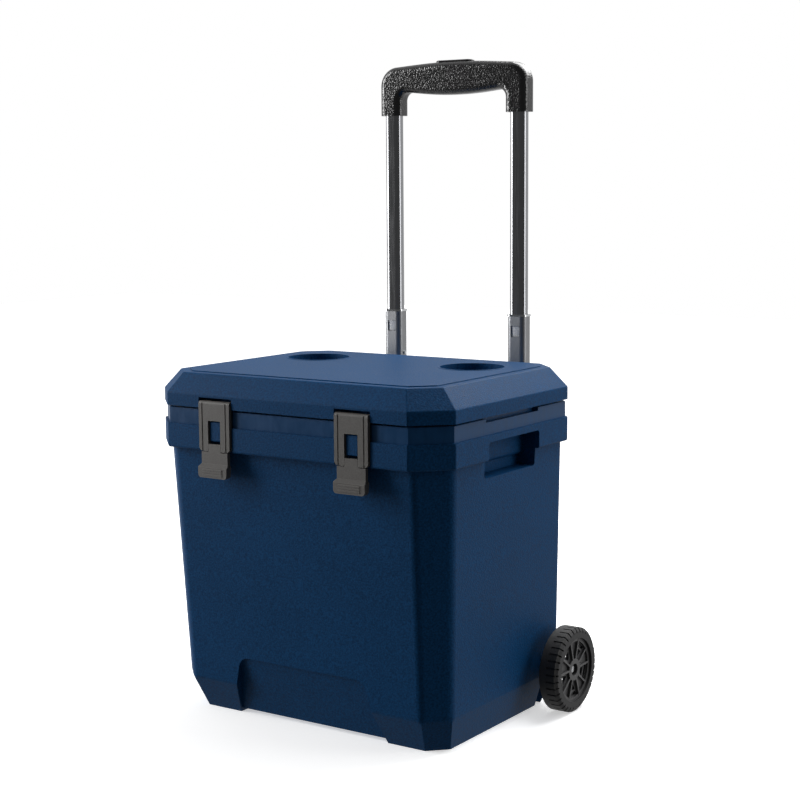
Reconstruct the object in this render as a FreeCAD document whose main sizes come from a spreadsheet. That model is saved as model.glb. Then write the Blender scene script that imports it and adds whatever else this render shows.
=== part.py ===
"""A hard cooler on two wheels, with a sliding pull handle, as a parametric FreeCAD document.

Millimetres. +X is to the right, -Y is the front with the latches, +Z is up.
The origin is on the ground, under the middle of the box's rim.
"""

import FreeCAD, Part
import math
import os
import re

import Sketcher

SIZES = {
    # the box: half lengths and corner cuts at the ground, the bevel's top and under the rim;
    # the back wall stands steeper than the front
    "floor_half_x": 190,
    "floor_half_y": 120,
    "floor_corner": 22,
    "floor_back": 140,
    "floor_back_corner": 20,
    "bevel_top": 43,
    "low_half_x": 203,
    "low_half_y": 141,
    "low_corner": 27,
    "low_back": 161,
    "low_back_corner": 22,
    "wall_half_x": 215,
    "wall_half_y": 162,
    "wall_corner": 35,
    "rim_bottom": 346,
    "rim_top": 377,
    "rim_half_x": 221,
    "rim_half_y": 173,
    "rim_corner": 40,
    "shell_wall": 3,
    "edge_round": 3,
    "corner_round": 14,
    "bevel_round": 10,
    "foam_gap": 0.2,
    # the smooth frame above the rim
    "frame_step": 3,
    "frame_top": 397,
    "frame_wall": 3,
    "frame_round": 1,
    "slot_half": 62,
    "slot_depth": 8,
    "slot_low": 392.5,
    # the tub inside
    "tub_half_x": 180,
    "tub_half_y": 130,
    "tub_taper": 2.2,
    "tub_floor": 42,
    "tub_wall": 2.5,
    "tub_round": 22,
    "tub_lip": 8,
    "tub_step_y": 74,
    "tub_step_z": 84,
    # the hand recess in each end
    "recess_half": 60,
    "recess_low": 324.5,
    "recess_high": 369,
    "recess_lip": 338,
    "recess_floor_x": 197,
    "recess_deep_x": 190,
    "recess_round": 5,
    "recess_corner": 4,
    # the arch at the front's foot
    "arch_top": 80,
    "arch_half": 95,
    "arch_low_half": 115,
    "arch_step": 2.5,
    "arch_lift": 5,
    "arch_foot_y": 119,
    "arch_back_y": 98,
    "arch_round": 16,
    # the lid
    "lid_gap": 2.4,
    "lid_rim": 16,
    "lid_bevel": 24.6,
    "lid_top_half_x": 199,
    "lid_top_half_y": 156,
    "lid_top_corner": 31,
    "panel_inset": 11,
    "panel_rise": 1.2,
    "lid_wall": 3,
    "plug_drop": 12,
    "plug_gap": 2,
    "plug_wall": 2.5,
    "gasket_width": 6,
    "gasket_clear": 0.2,
    "cup_radius": 41,
    "cup_depth": 27,
    "cup_x": 121,
    "cup_y": 64,
    "cup_ring": 3,
    "cup_ring_rise": 1.8,
    "cup_round": 8,
    # the two latches
    "latch_x": 103.5,
    "latch_half": 24,
    "latch_side_gap": 2,
    "channel_y": 164,
    "channel_drop": 8,
    "notch_y": 158,
    "notch_top": 412.4,
    "link_front": 175.5,
    "link_thick": 5,
    "link_round": 4,
    "link_low": 346.5,
    "link_pin_y": 168.5,
    "link_pin_z": 404.2,
    "link_barrel": 4.5,
    "pin_radius": 2,
    "pin_fit": 0.05,
    "slot_half_x": 9.8,
    "slot_top": 384.5,
    "groove_out": 19.5,
    "groove_in": 17.5,
    "groove_deep": 0.8,
    "keeper_half": 8.8,
    "keeper_low": 358.6,
    "keeper_high": 383,
    "keeper_front": 173.3,
    "keeper_round": 1.5,
    "lever_pin_y": 173,
    "lever_pin_z": 351.5,
    "lever_pin_radius": 1.5,
    "tongue_half": 9.3,
    "tongue_top": 355.5,
    "lever_half": 20.5,
    "lever_shoulder": 345.5,
    "grip_half": 22.5,
    "grip_high": 331,
    "grip_low": 314,
    "grip_flare": 5,
    "grip_rib": 0.9,
    "grip_rib_half": 15.3,
    "grip_rib_pitch": 3.1,
    "grip_corner": 3,
    "grip_ramp": 4,
    "grip_foot_round": 4.5,
    "shoulder_root_round": 1.5,
    "hook_top": 1.5,
    "hook_deep": 3.5,
    "hook_low": 4,
    "hook_foot": 5.5,
    # the lid's hinges
    "hinge_x": 150,
    "hinge_half": 22,
    "hinge_gap": 1,
    "hinge_y": 166,
    "hinge_z": 409,
    "knuckle_radius": 6,
    "knuckle_half": 9.5,
    "knuckle_gap": 0.5,
    "hinge_pocket_y": 157,
    "hinge_clear": 1,
    "bracket_low": 378.5,
    "bracket_gap": 0.1,
    "screw_radius": 1.5,
    "screw_head": 3.2,
    "screw_head_high": 1.4,
    "screw_fit": 0.05,
    # the wheels and their axle
    "wheel_radius": 54.5,
    "wheel_inner_x": 220,
    "wheel_outer_x": 247,
    "axle_y": 113,
    "axle_radius": 4,
    "axle_fit": 0.1,
    "axle_half": 241,
    "groove_half": 8,
    "rim_radius": 41,
    "rim_ring": 4.5,
    "rim_side": 3.5,
    "hub_radius": 14,
    "web_x": 236.5,
    "web_thick": 4,
    "rib_front": 244,
    "rib_thick": 2.2,
    "spoke_near": 4.2,
    "spoke_far": 11.5,
    "spoke_count": 5,
    "hub_pocket_radius": 8,
    "hub_pocket_x": 237.5,
    "window_near": 18,
    "window_narrow": 1.4,
    "window_wide": 10.7,
    "window_rim_gap": 1.5,
    "chord_radius": 28,
    "chord_drop": 4,
    "tyre_shoulder": 4.5,
    "tyre_shoulder_side": 3.2,
    "tread_count": 38,
    "tread_deep": 1.6,
    "tread_gap": 2,
    "tread_inner_x": 232,
    "tread_side": 3,
    "tread_side_deep": 6.5,
    "washer_thick": 1.6,
    "washer_radius": 10,
    "washer_gap": 0.6,
    "spacer_x": 204.5,
    "spacer_radius": 12,
    "nut_radius": 6.5,
    "nut_thick": 1.2,
    "nut_gap": 0.4,
    "clamp_x": 150,
    "clamp_half": 14,
    "clamp_drop": 12,
    # the pull handle
    "tube_x": 100,
    "tube_y": 218,
    "outer_half_x": 13.8,
    "outer_half_y": 10.7,
    "outer_low": 150,
    "outer_top": 494.5,
    "tube_wall": 1.2,
    "tube_round": 7,
    "inner_half_x": 11.8,
    "inner_half_y": 8.7,
    "inner_low": 447,
    "inner_top": 790,
    "collar_rise": 2.5,
    "collar_lip": 0.9,
    "collar_fit": 0.25,
    "collar_depth": 16,
    "window_low": 467,
    "window_high": 481.5,
    "window_half": 6.5,
    "lock_back": 0.5,
    "lock_fit": 0.3,
    "glide_high": 486,
    "glide_foot": 6,
    "rod_seat": 10,
    "rivet_z": 436,
    "rivet_radius": 2.4,
    "rivet_rise": 2,
    # the housing that holds the outer tubes
    "housing_half_x": 122,
    "housing_inner_x": 79,
    "housing_low": 140,
    "housing_high": 372,
    "housing_back": 233,
    "housing_plate_back": 178,
    "housing_fit": 0.15,
    "housing_wall": 3,
    "housing_round": 8,
    "housing_screw_x": 40,
    "housing_screw_low": 175,
    "housing_screw_high": 310,
    "housing_screw_radius": 2.5,
    "housing_screw_head": 5,
    "housing_screw_rise": 3,
    "housing_screw_deep": 32,
    # the grip
    "leg_half_x": 16.5,
    "grip_half_y": 14,
    "leg_low": 765,
    "shoulder_top": 829,
    "crown_top": 837,
    "arch_under_side": 797,
    "arch_under_mid": 788,
    "shoulder_round": 26,
    "armpit_round": 11,
    "crown_round": 900,
    "sag_round": 500,
    "grip_edge": 9,
    "parting_z": 808,
    "parting_gap": 0.3,
    "cavity_half_x": 84,
    "cavity_half_y": 7,
    "cavity_low": 800,
    "cavity_high": 829,
    "button_half_x": 29,
    "button_half_y": 8,
    "button_top": 837,
    "button_gap": 0.4,
    "button_skirt": 2,
    "button_low": 822,
    "button_travel": 3,
    "rod_radius": 2,
    "spring_radius": 4,
    "spring_wire": 0.8,
    "spring_turns": 5,
}

CORNER_SHARE = 2 - math.sqrt(2)  # how much an inset takes off a 45 degree corner cut
FAR = 400  # beyond every surface of the box, for cuts that run out of it

WHEEL_Z = "wheel_radius"
LID_LOW = "frame_top + lid_gap"
LID_RIM_TOP = f"{LID_LOW} + lid_rim"
LID_TOP = f"{LID_RIM_TOP} + lid_bevel"
FOAM_INSET = "shell_wall + foam_gap"
LID_FOAM_INSET = "lid_wall + foam_gap"
CHANNEL_HALF = "latch_half + latch_side_gap"

doc = FreeCAD.newDocument("WheeledCooler")
sheet = doc.addObject("Spreadsheet::Sheet", "Sizes")
pieces = []


def fill_sheet():
    for row, (alias, value) in enumerate(SIZES.items(), start=1):
        sheet.set(f"A{row}", alias)
        sheet.set(f"B{row}", str(value))
        sheet.setAlias(f"B{row}", alias)
    doc.recompute()


# --- sizes and expressions -------------------------------------------------------------


def bound(text):
    """The expression with the name of every size pointing into the sheet."""
    return re.sub(
        r"[a-z][a-z_]*",
        lambda word: "Sizes." + word.group() if word.group() in SIZES else word.group(),
        str(text),
    )


def number(text):
    """What an expression of sizes comes to now."""
    return float(sheet.evalExpression(bound(text)))


# --- outlines --------------------------------------------------------------------------


def rectangle(left, right, low, high):
    return [(left, low), (right, low), (right, high), (left, high)]


def centred(half_x, half_y):
    return rectangle(f"-({half_x})", half_x, f"-({half_y})", half_y)


def octagon(half_x, front, corner, inset="0", back=None, back_corner=None):
    """A rectangle with its corners cut at 45 degrees, moved in by inset all round.

    It reaches front to -Y and back to +Y, which is the same unless it is given."""
    x = f"(({half_x}) - ({inset}))"
    near = f"(({front}) - ({inset}))"
    far = f"(({back or front}) - ({inset}))"
    cut = f"(({corner}) - {CORNER_SHARE:.6f} * ({inset}))"
    far_cut = f"(({back_corner or corner}) - {CORNER_SHARE:.6f} * ({inset}))"
    return [
        (f"{x} - {cut}", f"-{near}"),
        (x, f"-{near} + {cut}"),
        (x, f"{far} - {far_cut}"),
        (f"{x} - {far_cut}", far),
        (f"-{x} + {far_cut}", far),
        (f"-{x}", f"{far} - {far_cut}"),
        (f"-{x}", f"-{near} + {cut}"),
        (f"-{x} + {cut}", f"-{near}"),
    ]


# --- sketches and features -------------------------------------------------------------


def new_body(name):
    return doc.addObject("PartDesign::Body", name)


def sketch(body, plane, level="0"):
    """An empty sketch on an origin plane of the body, moved along its normal to level."""
    flat = body.newObject("Sketcher::SketchObject", "Outline")
    support = next(f for f in body.Origin.OriginFeatures if f.Role == plane)
    flat.AttachmentSupport = [(support, "")]
    flat.MapMode = "FlatFace"
    flat.setExpression("AttachmentOffset.Base.z", bound(level))
    return flat


def pin_down(flat, kind, geometry, point, text):
    """Hold one coordinate of a point at an expression."""
    index = flat.addConstraint(
        Sketcher.Constraint(kind, -1, 1, geometry, point, number(text))
    )
    flat.setExpression(f"Constraints[{index}]", bound(text))


def draw(flat, corners):
    """A closed outline through the corners, each held by two expressions."""
    points = [FreeCAD.Vector(number(x), number(y), 0) for x, y in corners]
    for start, end in zip(points, points[1:] + points[:1]):
        flat.addGeometry(Part.LineSegment(start, end), False)
    for index, (x, y) in enumerate(corners):
        before = (index - 1) % len(corners)
        flat.addConstraint(Sketcher.Constraint("Coincident", before, 2, index, 1))
        pin_down(flat, "DistanceX", index, 1, x)
        pin_down(flat, "DistanceY", index, 1, y)


def draw_circle(flat, x, y, radius):
    centre = FreeCAD.Vector(number(x), number(y), 0)
    axis = FreeCAD.Vector(0, 0, 1)
    ring = flat.addGeometry(Part.Circle(centre, axis, number(radius)), False)
    pin_down(flat, "DistanceX", ring, 3, x)
    pin_down(flat, "DistanceY", ring, 3, y)
    index = flat.addConstraint(Sketcher.Constraint("Radius", ring, number(radius)))
    flat.setExpression(f"Constraints[{index}]", bound(radius))


def extrude(body, flat, length, cut):
    kind = "PartDesign::Pocket" if cut else "PartDesign::Pad"
    feature = body.newObject(kind, "Cut" if cut else "Block")
    feature.Profile = flat
    feature.Reversed = cut  # a pocket runs against its sketch's normal until turned
    feature.setExpression("Length", bound(length))
    body.Tip = feature
    return feature


def level_of(plane, low, high):
    """Where a sketch lies so that its feature fills low to high along the plane's axis."""
    return f"-({high})" if plane == "XZ_Plane" else low


def prism(body, plane, corners, low, high, cut=False):
    flat = sketch(body, plane, level_of(plane, low, high))
    draw(flat, corners)
    return extrude(body, flat, f"({high}) - ({low})", cut)


def rod(body, plane, x, y, radius, low, high, cut=False):
    flat = sketch(body, plane, level_of(plane, low, high))
    draw_circle(flat, x, y, radius)
    return extrude(body, flat, f"({high}) - ({low})", cut)


def loft(body, sections):
    """A straight-sided solid through outlines, each with its height."""
    flats = []
    for corners, height in sections:
        flat = sketch(body, "XY_Plane", height)
        draw(flat, corners)
        flats.append(flat)
    feature = body.newObject("PartDesign::AdditiveLoft", "Loft")
    feature.Profile = flats[0]
    feature.Sections = flats[1:]
    feature.Ruled = True
    body.Tip = feature
    return feature


def revolve(body, plane, corners, axis_role, cut=False):
    """Turn an outline once about an axis of the body's origin."""
    flat = sketch(body, plane)
    draw(flat, corners)
    kind = "PartDesign::Groove" if cut else "PartDesign::Revolution"
    feature = body.newObject(kind, "Turned")
    feature.Profile = flat
    axis = next(f for f in body.Origin.OriginFeatures if f.Role == axis_role)
    feature.ReferenceAxis = (axis, [""])
    feature.Angle = 360
    body.Tip = feature
    return feature


def repeat_round(body, features, axis_role, count):
    feature = body.newObject("PartDesign::PolarPattern", "Around")
    feature.Originals = features
    axis = next(f for f in body.Origin.OriginFeatures if f.Role == axis_role)
    feature.Axis = (axis, [""])
    feature.Angle = 360
    feature.setExpression("Occurrences", bound(count))
    body.Tip = feature
    return feature


def round_edges(body, radius, picked):
    """Fillet the edges of the body so far that picked accepts."""
    doc.recompute()
    tip = body.Tip
    edges = enumerate(tip.Shape.Edges, start=1)
    names = [f"Edge{index}" for index, edge in edges if picked(edge)]
    feature = body.newObject("PartDesign::Fillet", "Round")
    feature.Base = (tip, names)
    feature.setExpression("Radius", bound(radius))
    body.Tip = feature
    return feature


# --- picking edges ---------------------------------------------------------------------


def runs(edge, axis):
    """Whether the edge is straight along X, Y or Z, or nearly so."""
    along = edge.Vertexes[-1].Point - edge.Vertexes[0].Point
    straight = abs(along.Length - edge.Length) < 0.001
    return straight and abs(along[axis]) > 0.9 * along.Length


def lies_at(edge, axis, text):
    """Whether every point of the edge has this value along X, Y or Z."""
    box = edge.BoundBox
    low = (box.XMin, box.YMin, box.ZMin)[axis]
    high = (box.XMax, box.YMax, box.ZMax)[axis]
    return max(abs(low - number(text)), abs(high - number(text))) < 0.01


def at_corner(edge, first, first_text, second, second_text):
    return lies_at(edge, first, first_text) and lies_at(edge, second, second_text)


X, Y, Z = 0, 1, 2


# --- booleans and finished pieces ------------------------------------------------------


def fuse(shapes):
    feature = doc.addObject("Part::MultiFuse", "Joined")
    feature.Shapes = shapes
    return feature


def common(shape, other):
    feature = doc.addObject("Part::MultiCommon", "Shared")
    feature.Shapes = [shape, other]
    return feature


def cut(shape, tool):
    feature = doc.addObject("Part::Cut", "Cut")
    feature.Base = shape
    feature.Tool = tool
    return feature


def mirror(shape):
    """The same piece on the other side of the middle plane."""
    feature = doc.addObject("Part::Mirroring", "Mirrored")
    feature.Source = shape
    feature.Base = FreeCAD.Vector(0, 0, 0)
    feature.Normal = FreeCAD.Vector(1, 0, 0)
    return feature


def both_sides(shape):
    return fuse([shape, mirror(shape)])


def finish(feature, label):
    """Name a sub-part and keep it to be written."""
    feature.Label = label
    feature.Placement = FreeCAD.Placement()
    pieces.append(feature)
    return feature


def finish_pair(feature, label):
    """A right-hand sub-part and its mirror image."""
    finish(mirror(feature), label + "_left")
    finish(feature, label + "_right")


def copy_of(shape):
    """A separate object with the same geometry, for a tool that is used again."""
    feature = doc.addObject("Part::Compound", "Copy")
    feature.Links = [shape]
    return feature


# --- the box's outer form and what is let into it --------------------------------------


def hull_form(name, inset, top, rounded=False):
    """The box's outside, moved in by inset and cut off at top."""
    body = new_body(name)
    rim_foot = f"rim_bottom + ({inset})"
    floor = octagon(
        "floor_half_x", "floor_half_y", "floor_corner", inset, "floor_back", "floor_back_corner"
    )
    low = octagon("low_half_x", "low_half_y", "low_corner", inset, "low_back", "low_back_corner")
    wall = octagon("wall_half_x", "wall_half_y", "wall_corner", inset)
    loft(body, [(floor, inset), (low, "bevel_top"), (wall, rim_foot)])
    rim = octagon("rim_half_x", "rim_half_y", "rim_corner", inset)
    prism(body, "XY_Plane", rim, rim_foot, top)
    if rounded:
        round_edges(body, "corner_round", is_wall_corner)
        round_edges(body, "bevel_round", lambda edge: lies_at(edge, Z, "bevel_top"))
        round_edges(body, "edge_round", is_rim_edge)
    return body


def is_wall_corner(edge):
    """The walls' upright corners, between the bevel and the rim."""
    box = edge.BoundBox
    starts = abs(box.ZMin - number("bevel_top")) < 1
    return starts and abs(box.ZMax - number("rim_bottom")) < 1


def is_rim_edge(edge):
    """The rim's lower edge and its upright corners."""
    upright = runs(edge, Z) and edge.BoundBox.ZMin > number("rim_bottom") - 1
    return upright or is_rim_foot(edge)


def is_rim_foot(edge):
    outside = edge.CenterOfMass
    reach = abs(outside.x) > number("wall_half_x + 1") or abs(outside.y) > number("wall_half_y + 1")
    diagonal = abs(outside.x) + abs(outside.y)
    corner = diagonal > number("rim_half_x + rim_half_y - rim_corner - 2")
    return lies_at(edge, Z, "rim_bottom") and (reach or corner)


def recess_tool(grow):
    """The space of the right-hand hand recess, with its deeper finger pocket below."""
    body = new_body("RecessSpace")
    half = f"recess_half + ({grow})"
    low = f"recess_low - ({grow})"
    floor = f"recess_floor_x - ({grow})"
    face = rectangle(f"-({half})", half, low, f"recess_high + ({grow})")
    prism(body, "YZ_Plane", face, floor, FAR)
    round_edges(body, f"recess_corner + ({grow})", lambda edge: runs(edge, X))
    pocket = rectangle(f"-({half})", half, low, f"recess_lip + ({grow})")
    prism(body, "YZ_Plane", pocket, f"recess_deep_x - ({grow})", "recess_floor_x + recess_round")
    if number(grow) == 0:
        lip = ("recess_floor_x", "recess_lip")
        round_edges(body, "recess_round", lambda edge: at_corner(edge, X, lip[0], Z, lip[1]))
    return body


def groove_tool(grow):
    """The channel across the base that the axle lies in, open below."""
    body = new_body("AxleGroove")
    half = f"(groove_half + ({grow}))"
    top = f"{WHEEL_Z} + {half}"
    across = rectangle(f"axle_y - {half}", f"axle_y + {half}", "-1", top)
    prism(body, "YZ_Plane", across, -FAR, FAR)
    return body


def arch_tool(grow):
    """The arch at the front's foot: a face that leans in, between two flared sides."""
    body = new_body("ArchSpace")
    slope = "(arch_top - bevel_top) / (rim_bottom - bevel_top)"
    face = f"(low_half_y + (wall_half_y - low_half_y) * {slope} - arch_step)"
    top = f"arch_top + ({grow})"
    profile = [
        (-FAR, top),
        (f"-{face} + ({grow})", top),
        (f"-arch_foot_y + ({grow})", f"arch_lift + ({grow})"),
        (f"-arch_back_y + ({grow})", f"arch_lift + ({grow})"),
        (f"-arch_back_y + ({grow})", "-1"),
        (-FAR, "-1"),
    ]
    prism(body, "YZ_Plane", profile, -FAR, FAR)
    for side in ("", "-"):
        outside = [
            (f"{side}(arch_half + ({grow}))", f"{top} + 1"),
            (f"{side}{FAR + 1}", f"{top} + 1"),
            (f"{side}{FAR + 1}", "-2"),
            (f"{side}(arch_low_half + ({grow}))", "-2"),
        ]
        prism(body, "XZ_Plane", outside, -FAR - 1, FAR, cut=True)
    round_edges(body, "arch_round", lambda edge: runs(edge, Y) and lies_at(edge, Z, top))
    return body


def channel_tool(grow, low, high):
    """The upright channel that the right-hand latch lies in."""
    body = new_body("LatchChannel")
    half = f"({CHANNEL_HALF} + ({grow}))"
    plan = rectangle(
        f"latch_x - {half}", f"latch_x + {half}", -FAR, f"-channel_y + ({grow})"
    )
    prism(body, "XY_Plane", plan, low, high)
    return body


def housing_screws_form(extra):
    """Four screws through the handle housing into the back wall, right-hand pair."""
    body = new_body("ScrewForm")
    for height in ("housing_screw_low", "housing_screw_high"):
        start = f"housing_plate_back - housing_screw_deep - ({extra})"
        rod(
            body,
            "XZ_Plane",
            "housing_screw_x",
            height,
            f"housing_screw_radius + ({extra})",
            start,
            "housing_plate_back",
        )
    return body


def spaces(grow):
    """Everything that is let into the box from outside, each grown by a wall."""
    return fuse(
        [
            both_sides(recess_tool(grow)),
            groove_tool(grow),
            arch_tool(grow),
            both_sides(channel_tool(grow, "rim_bottom - channel_drop", "rim_top + 1")),
        ]
    )


def keeper():
    """The right-hand block that the latch's window closes over."""
    body = new_body("Keeper")
    left = "latch_x - keeper_half"
    right = "latch_x + keeper_half"
    side = rectangle(left, right, "keeper_low", "keeper_high")
    prism(body, "XZ_Plane", side, "-keeper_front", "-channel_y - frame_wall")
    foot = rectangle(left, right, "keeper_low", "rim_top - shell_wall")
    prism(body, "XZ_Plane", foot, "-channel_y - frame_wall", "-channel_y + 1")
    round_edges(body, "keeper_round", lambda edge: lies_at(edge, Y, "-keeper_front"))
    return body


def body_shell():
    outer = hull_form("ShellOutside", "0", "rim_top", rounded=True)
    inner = hull_form("ShellInside", "shell_wall", "rim_top + 1")
    backing = common(copy_of(outer), spaces("shell_wall"))
    walled = fuse([cut(outer, inner), backing])
    open_channels = cut(walled, spaces("0"))
    drilled = cut(open_channels, both_sides(housing_screws_form("screw_fit")))
    finish(fuse([drilled, both_sides(keeper())]), "body_shell")


# --- inside the box --------------------------------------------------------------------


def tub_form(name, inset, top):
    """The tub's form moved in by inset, narrower towards its floor, with a step over the axle."""
    body = new_body(name)
    mouth = centred(f"tub_half_x - ({inset})", f"tub_half_y - ({inset})")
    flat = sketch(body, "XY_Plane", top)
    draw(flat, mouth)
    block = extrude(body, flat, f"({top}) - tub_floor - ({inset})", False)
    block.Reversed = True
    block.setExpression("TaperAngle", bound("-tub_taper"))
    round_edges(body, f"tub_round - ({inset})", lambda edge: runs(edge, Z))
    step = rectangle(f"tub_step_y - ({inset})", FAR, "0", f"tub_step_z + ({inset})")
    prism(body, "YZ_Plane", step, -FAR, FAR, cut=True)
    return body


def body_liner():
    outer = tub_form("TubOutside", "0", "frame_top - frame_wall")
    lip = new_body("TubLip")
    edge = centred("tub_half_x + tub_lip", "tub_half_y + tub_lip")
    prism(lip, "XY_Plane", edge, "frame_top - frame_wall - tub_wall", "frame_top - frame_wall")
    round_edges(lip, "tub_round + tub_lip", lambda edge: runs(edge, Z))
    inner = tub_form("TubInside", "tub_wall", "frame_top - frame_wall + 1")
    finish(cut(fuse([outer, lip]), inner), "body_liner")


def body_foam():
    top = "frame_top - frame_wall - tub_wall - foam_gap"
    block = hull_form("FoamBlock", FOAM_INSET, "rim_top")
    crown = new_body("FoamCrown")
    inset = "frame_step + frame_wall + foam_gap"
    prism(
        crown, "XY_Plane", octagon("rim_half_x", "rim_half_y", "rim_corner", inset), "rim_top", top
    )
    tub = tub_form("TubRoom", "-foam_gap", "frame_top")
    room = fuse(
        [
            spaces(FOAM_INSET),
            both_sides(channel_tool("frame_wall + foam_gap", "rim_top - 1", "frame_top + 1")),
            both_sides(frame_slot("frame_wall + foam_gap")),
            both_sides(housing_screws_form("foam_gap")),
            tub,
        ]
    )
    finish(cut(fuse([block, crown]), room), "body_foam")


def frame_slot(grow):
    """The right-hand finger slot in the frame's upper edge."""
    body = new_body("FingerSlot")
    half = f"slot_half + ({grow})"
    side = rectangle(f"-({half})", half, f"slot_low - ({grow})", FAR + 1)
    prism(body, "YZ_Plane", side, f"rim_half_x - frame_step - slot_depth - ({grow})", FAR)
    return body


def top_frame():
    outer = new_body("FrameOutside")
    prism(
        outer,
        "XY_Plane",
        octagon("rim_half_x", "rim_half_y", "rim_corner", "frame_step"),
        "rim_top",
        "frame_top",
    )
    round_edges(outer, "frame_round", lambda edge: lies_at(edge, Z, "frame_top"))
    inner = new_body("FrameInside")
    inset = "frame_step + frame_wall"
    prism(
        inner,
        "XY_Plane",
        octagon("rim_half_x", "rim_half_y", "rim_corner", inset),
        "rim_top - 1",
        "frame_top - frame_wall",
    )
    mouth = new_body("FrameMouth")
    prism(
        mouth,
        "XY_Plane",
        centred("tub_half_x - tub_wall", "tub_half_y - tub_wall"),
        "rim_top - 1",
        "frame_top + 1",
    )
    round_edges(mouth, "tub_round - tub_wall", lambda edge: runs(edge, Z))
    grown = fuse(
        [
            both_sides(channel_tool("frame_wall", "rim_top - 1", "frame_top + 1")),
            both_sides(frame_slot("frame_wall")),
        ]
    )
    backing = common(copy_of(outer), grown)
    rooms = fuse(
        [
            both_sides(channel_tool("0", "rim_top - 2", "frame_top + 2")),
            both_sides(frame_slot("0")),
            both_sides(bracket_screws_form("screw_fit")),
        ]
    )
    walled = fuse([cut(cut(outer, inner), mouth), backing])
    finish(cut(walled, rooms), "top_frame")


# --- the lid ---------------------------------------------------------------------------


def lid_form(name, inset, low, panel=False):
    body = new_body(name)
    rim = octagon("rim_half_x", "rim_half_y", "rim_corner", inset)
    top = octagon("lid_top_half_x", "lid_top_half_y", "lid_top_corner", inset)
    prism(body, "XY_Plane", rim, low, LID_RIM_TOP)
    loft(body, [(rim, LID_RIM_TOP), (top, f"{LID_TOP} - ({inset})")])
    if panel:
        round_edges(body, "edge_round", is_lid_edge)
        raised = octagon("lid_top_half_x", "lid_top_half_y", "lid_top_corner", "panel_inset")
        prism(body, "XY_Plane", raised, f"{LID_TOP} - 1", f"{LID_TOP} + panel_rise")
        round_edges(
            body, "panel_rise / 2", lambda edge: lies_at(edge, Z, f"{LID_TOP} + panel_rise")
        )
    return body


def is_lid_edge(edge):
    """The lid's top edge, its knee and the slanted corners between them."""
    level = lies_at(edge, Z, LID_TOP) or lies_at(edge, Z, LID_RIM_TOP)
    box = edge.BoundBox
    slanted = box.ZMax - box.ZMin > 1
    return level or slanted


def cup_tool(grow):
    """The right-hand cup holder's space."""
    body = new_body("CupSpace")
    low = f"{LID_TOP} - cup_depth - ({grow})"
    rod(body, "XY_Plane", "cup_x", "cup_y", f"cup_radius + ({grow})", low, FAR + 100)
    round_edges(body, "cup_round", lambda edge: lies_at(edge, Z, low))
    return body


def notch_tool(grow):
    """The right-hand notch in the lid's front rim, for the latch's top."""
    body = new_body("LatchNotch")
    half = f"({CHANNEL_HALF} + ({grow}))"
    plan = rectangle(f"latch_x - {half}", f"latch_x + {half}", -FAR, f"-notch_y + ({grow})")
    prism(body, "XY_Plane", plan, f"{LID_LOW} - plug_drop", f"notch_top + ({grow})")
    return body


def hinge_tool(grow):
    """The right-hand pocket in the lid's back rim, for the hinge."""
    body = new_body("HingePocket")
    half = f"(hinge_half + hinge_gap + ({grow}))"
    plan = rectangle(f"hinge_x - {half}", f"hinge_x + {half}", f"hinge_pocket_y - ({grow})", FAR)
    top = f"hinge_z + knuckle_radius + hinge_clear + ({grow})"
    prism(body, "XY_Plane", plan, f"{LID_LOW} - plug_drop", top)
    return body


def lid_spaces(grow):
    return fuse(
        [
            both_sides(cup_tool(grow)),
            both_sides(notch_tool(grow)),
            both_sides(hinge_tool(grow)),
        ]
    )


def lid_knuckle():
    """The lid's own knuckle, between the two of the right-hand bracket."""
    body = new_body("LidKnuckle")
    left = "hinge_x - knuckle_half"
    right = "hinge_x + knuckle_half"
    rod(body, "YZ_Plane", "hinge_y", "hinge_z", "knuckle_radius", left, right)
    arm = rectangle(
        "hinge_pocket_y - lid_wall / 2",
        "hinge_y",
        "hinge_z - knuckle_radius",
        "hinge_z + knuckle_radius",
    )
    prism(body, "YZ_Plane", arm, left, right)
    return body


def pin_bores():
    """The bores for the latch pin and the hinge pin, on the right."""
    body = new_body("LatchPinBore")
    reach = f"({CHANNEL_HALF} + lid_wall)"
    rod(
        body,
        "YZ_Plane",
        "-link_pin_y",
        "link_pin_z",
        "pin_radius + pin_fit",
        f"latch_x - {reach}",
        f"latch_x + {reach}",
    )
    other = new_body("HingePinBore")
    rod(
        other,
        "YZ_Plane",
        "hinge_y",
        "hinge_z",
        "pin_radius + pin_fit",
        "hinge_x - hinge_half",
        "hinge_x + hinge_half",
    )
    return fuse([body, other])


def cup_ring():
    """The raised ring round the right-hand cup holder."""
    body = new_body("CupRing")
    low = f"{LID_TOP} - lid_wall"
    high = f"{LID_TOP} + cup_ring_rise"
    rod(body, "XY_Plane", "cup_x", "cup_y", "cup_radius + cup_ring", low, high)
    round_edges(body, "panel_rise", lambda edge: lies_at(edge, Z, high))
    return body


def lid_shell():
    outer = lid_form("LidOutside", "0", LID_LOW, panel=True)
    inner = lid_form("LidInside", "lid_wall", f"{LID_LOW} - 1")
    backing = common(copy_of(outer), lid_spaces("lid_wall"))
    walled = fuse([cut(outer, inner), backing, both_sides(cup_ring())])
    hollow = cut(walled, lid_spaces("0"))
    with_knuckles = fuse([hollow, both_sides(lid_knuckle())])
    finish(cut(with_knuckles, both_sides(pin_bores())), "lid_shell")


def plug_form(name, inset, low, high):
    body = new_body(name)
    half_x = f"tub_half_x - tub_wall - plug_gap - ({inset})"
    half_y = f"tub_half_y - tub_wall - plug_gap - ({inset})"
    prism(body, "XY_Plane", centred(half_x, half_y), low, high)
    round_edges(body, f"tub_round - tub_wall - ({inset})", lambda edge: runs(edge, Z))
    return body


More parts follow.
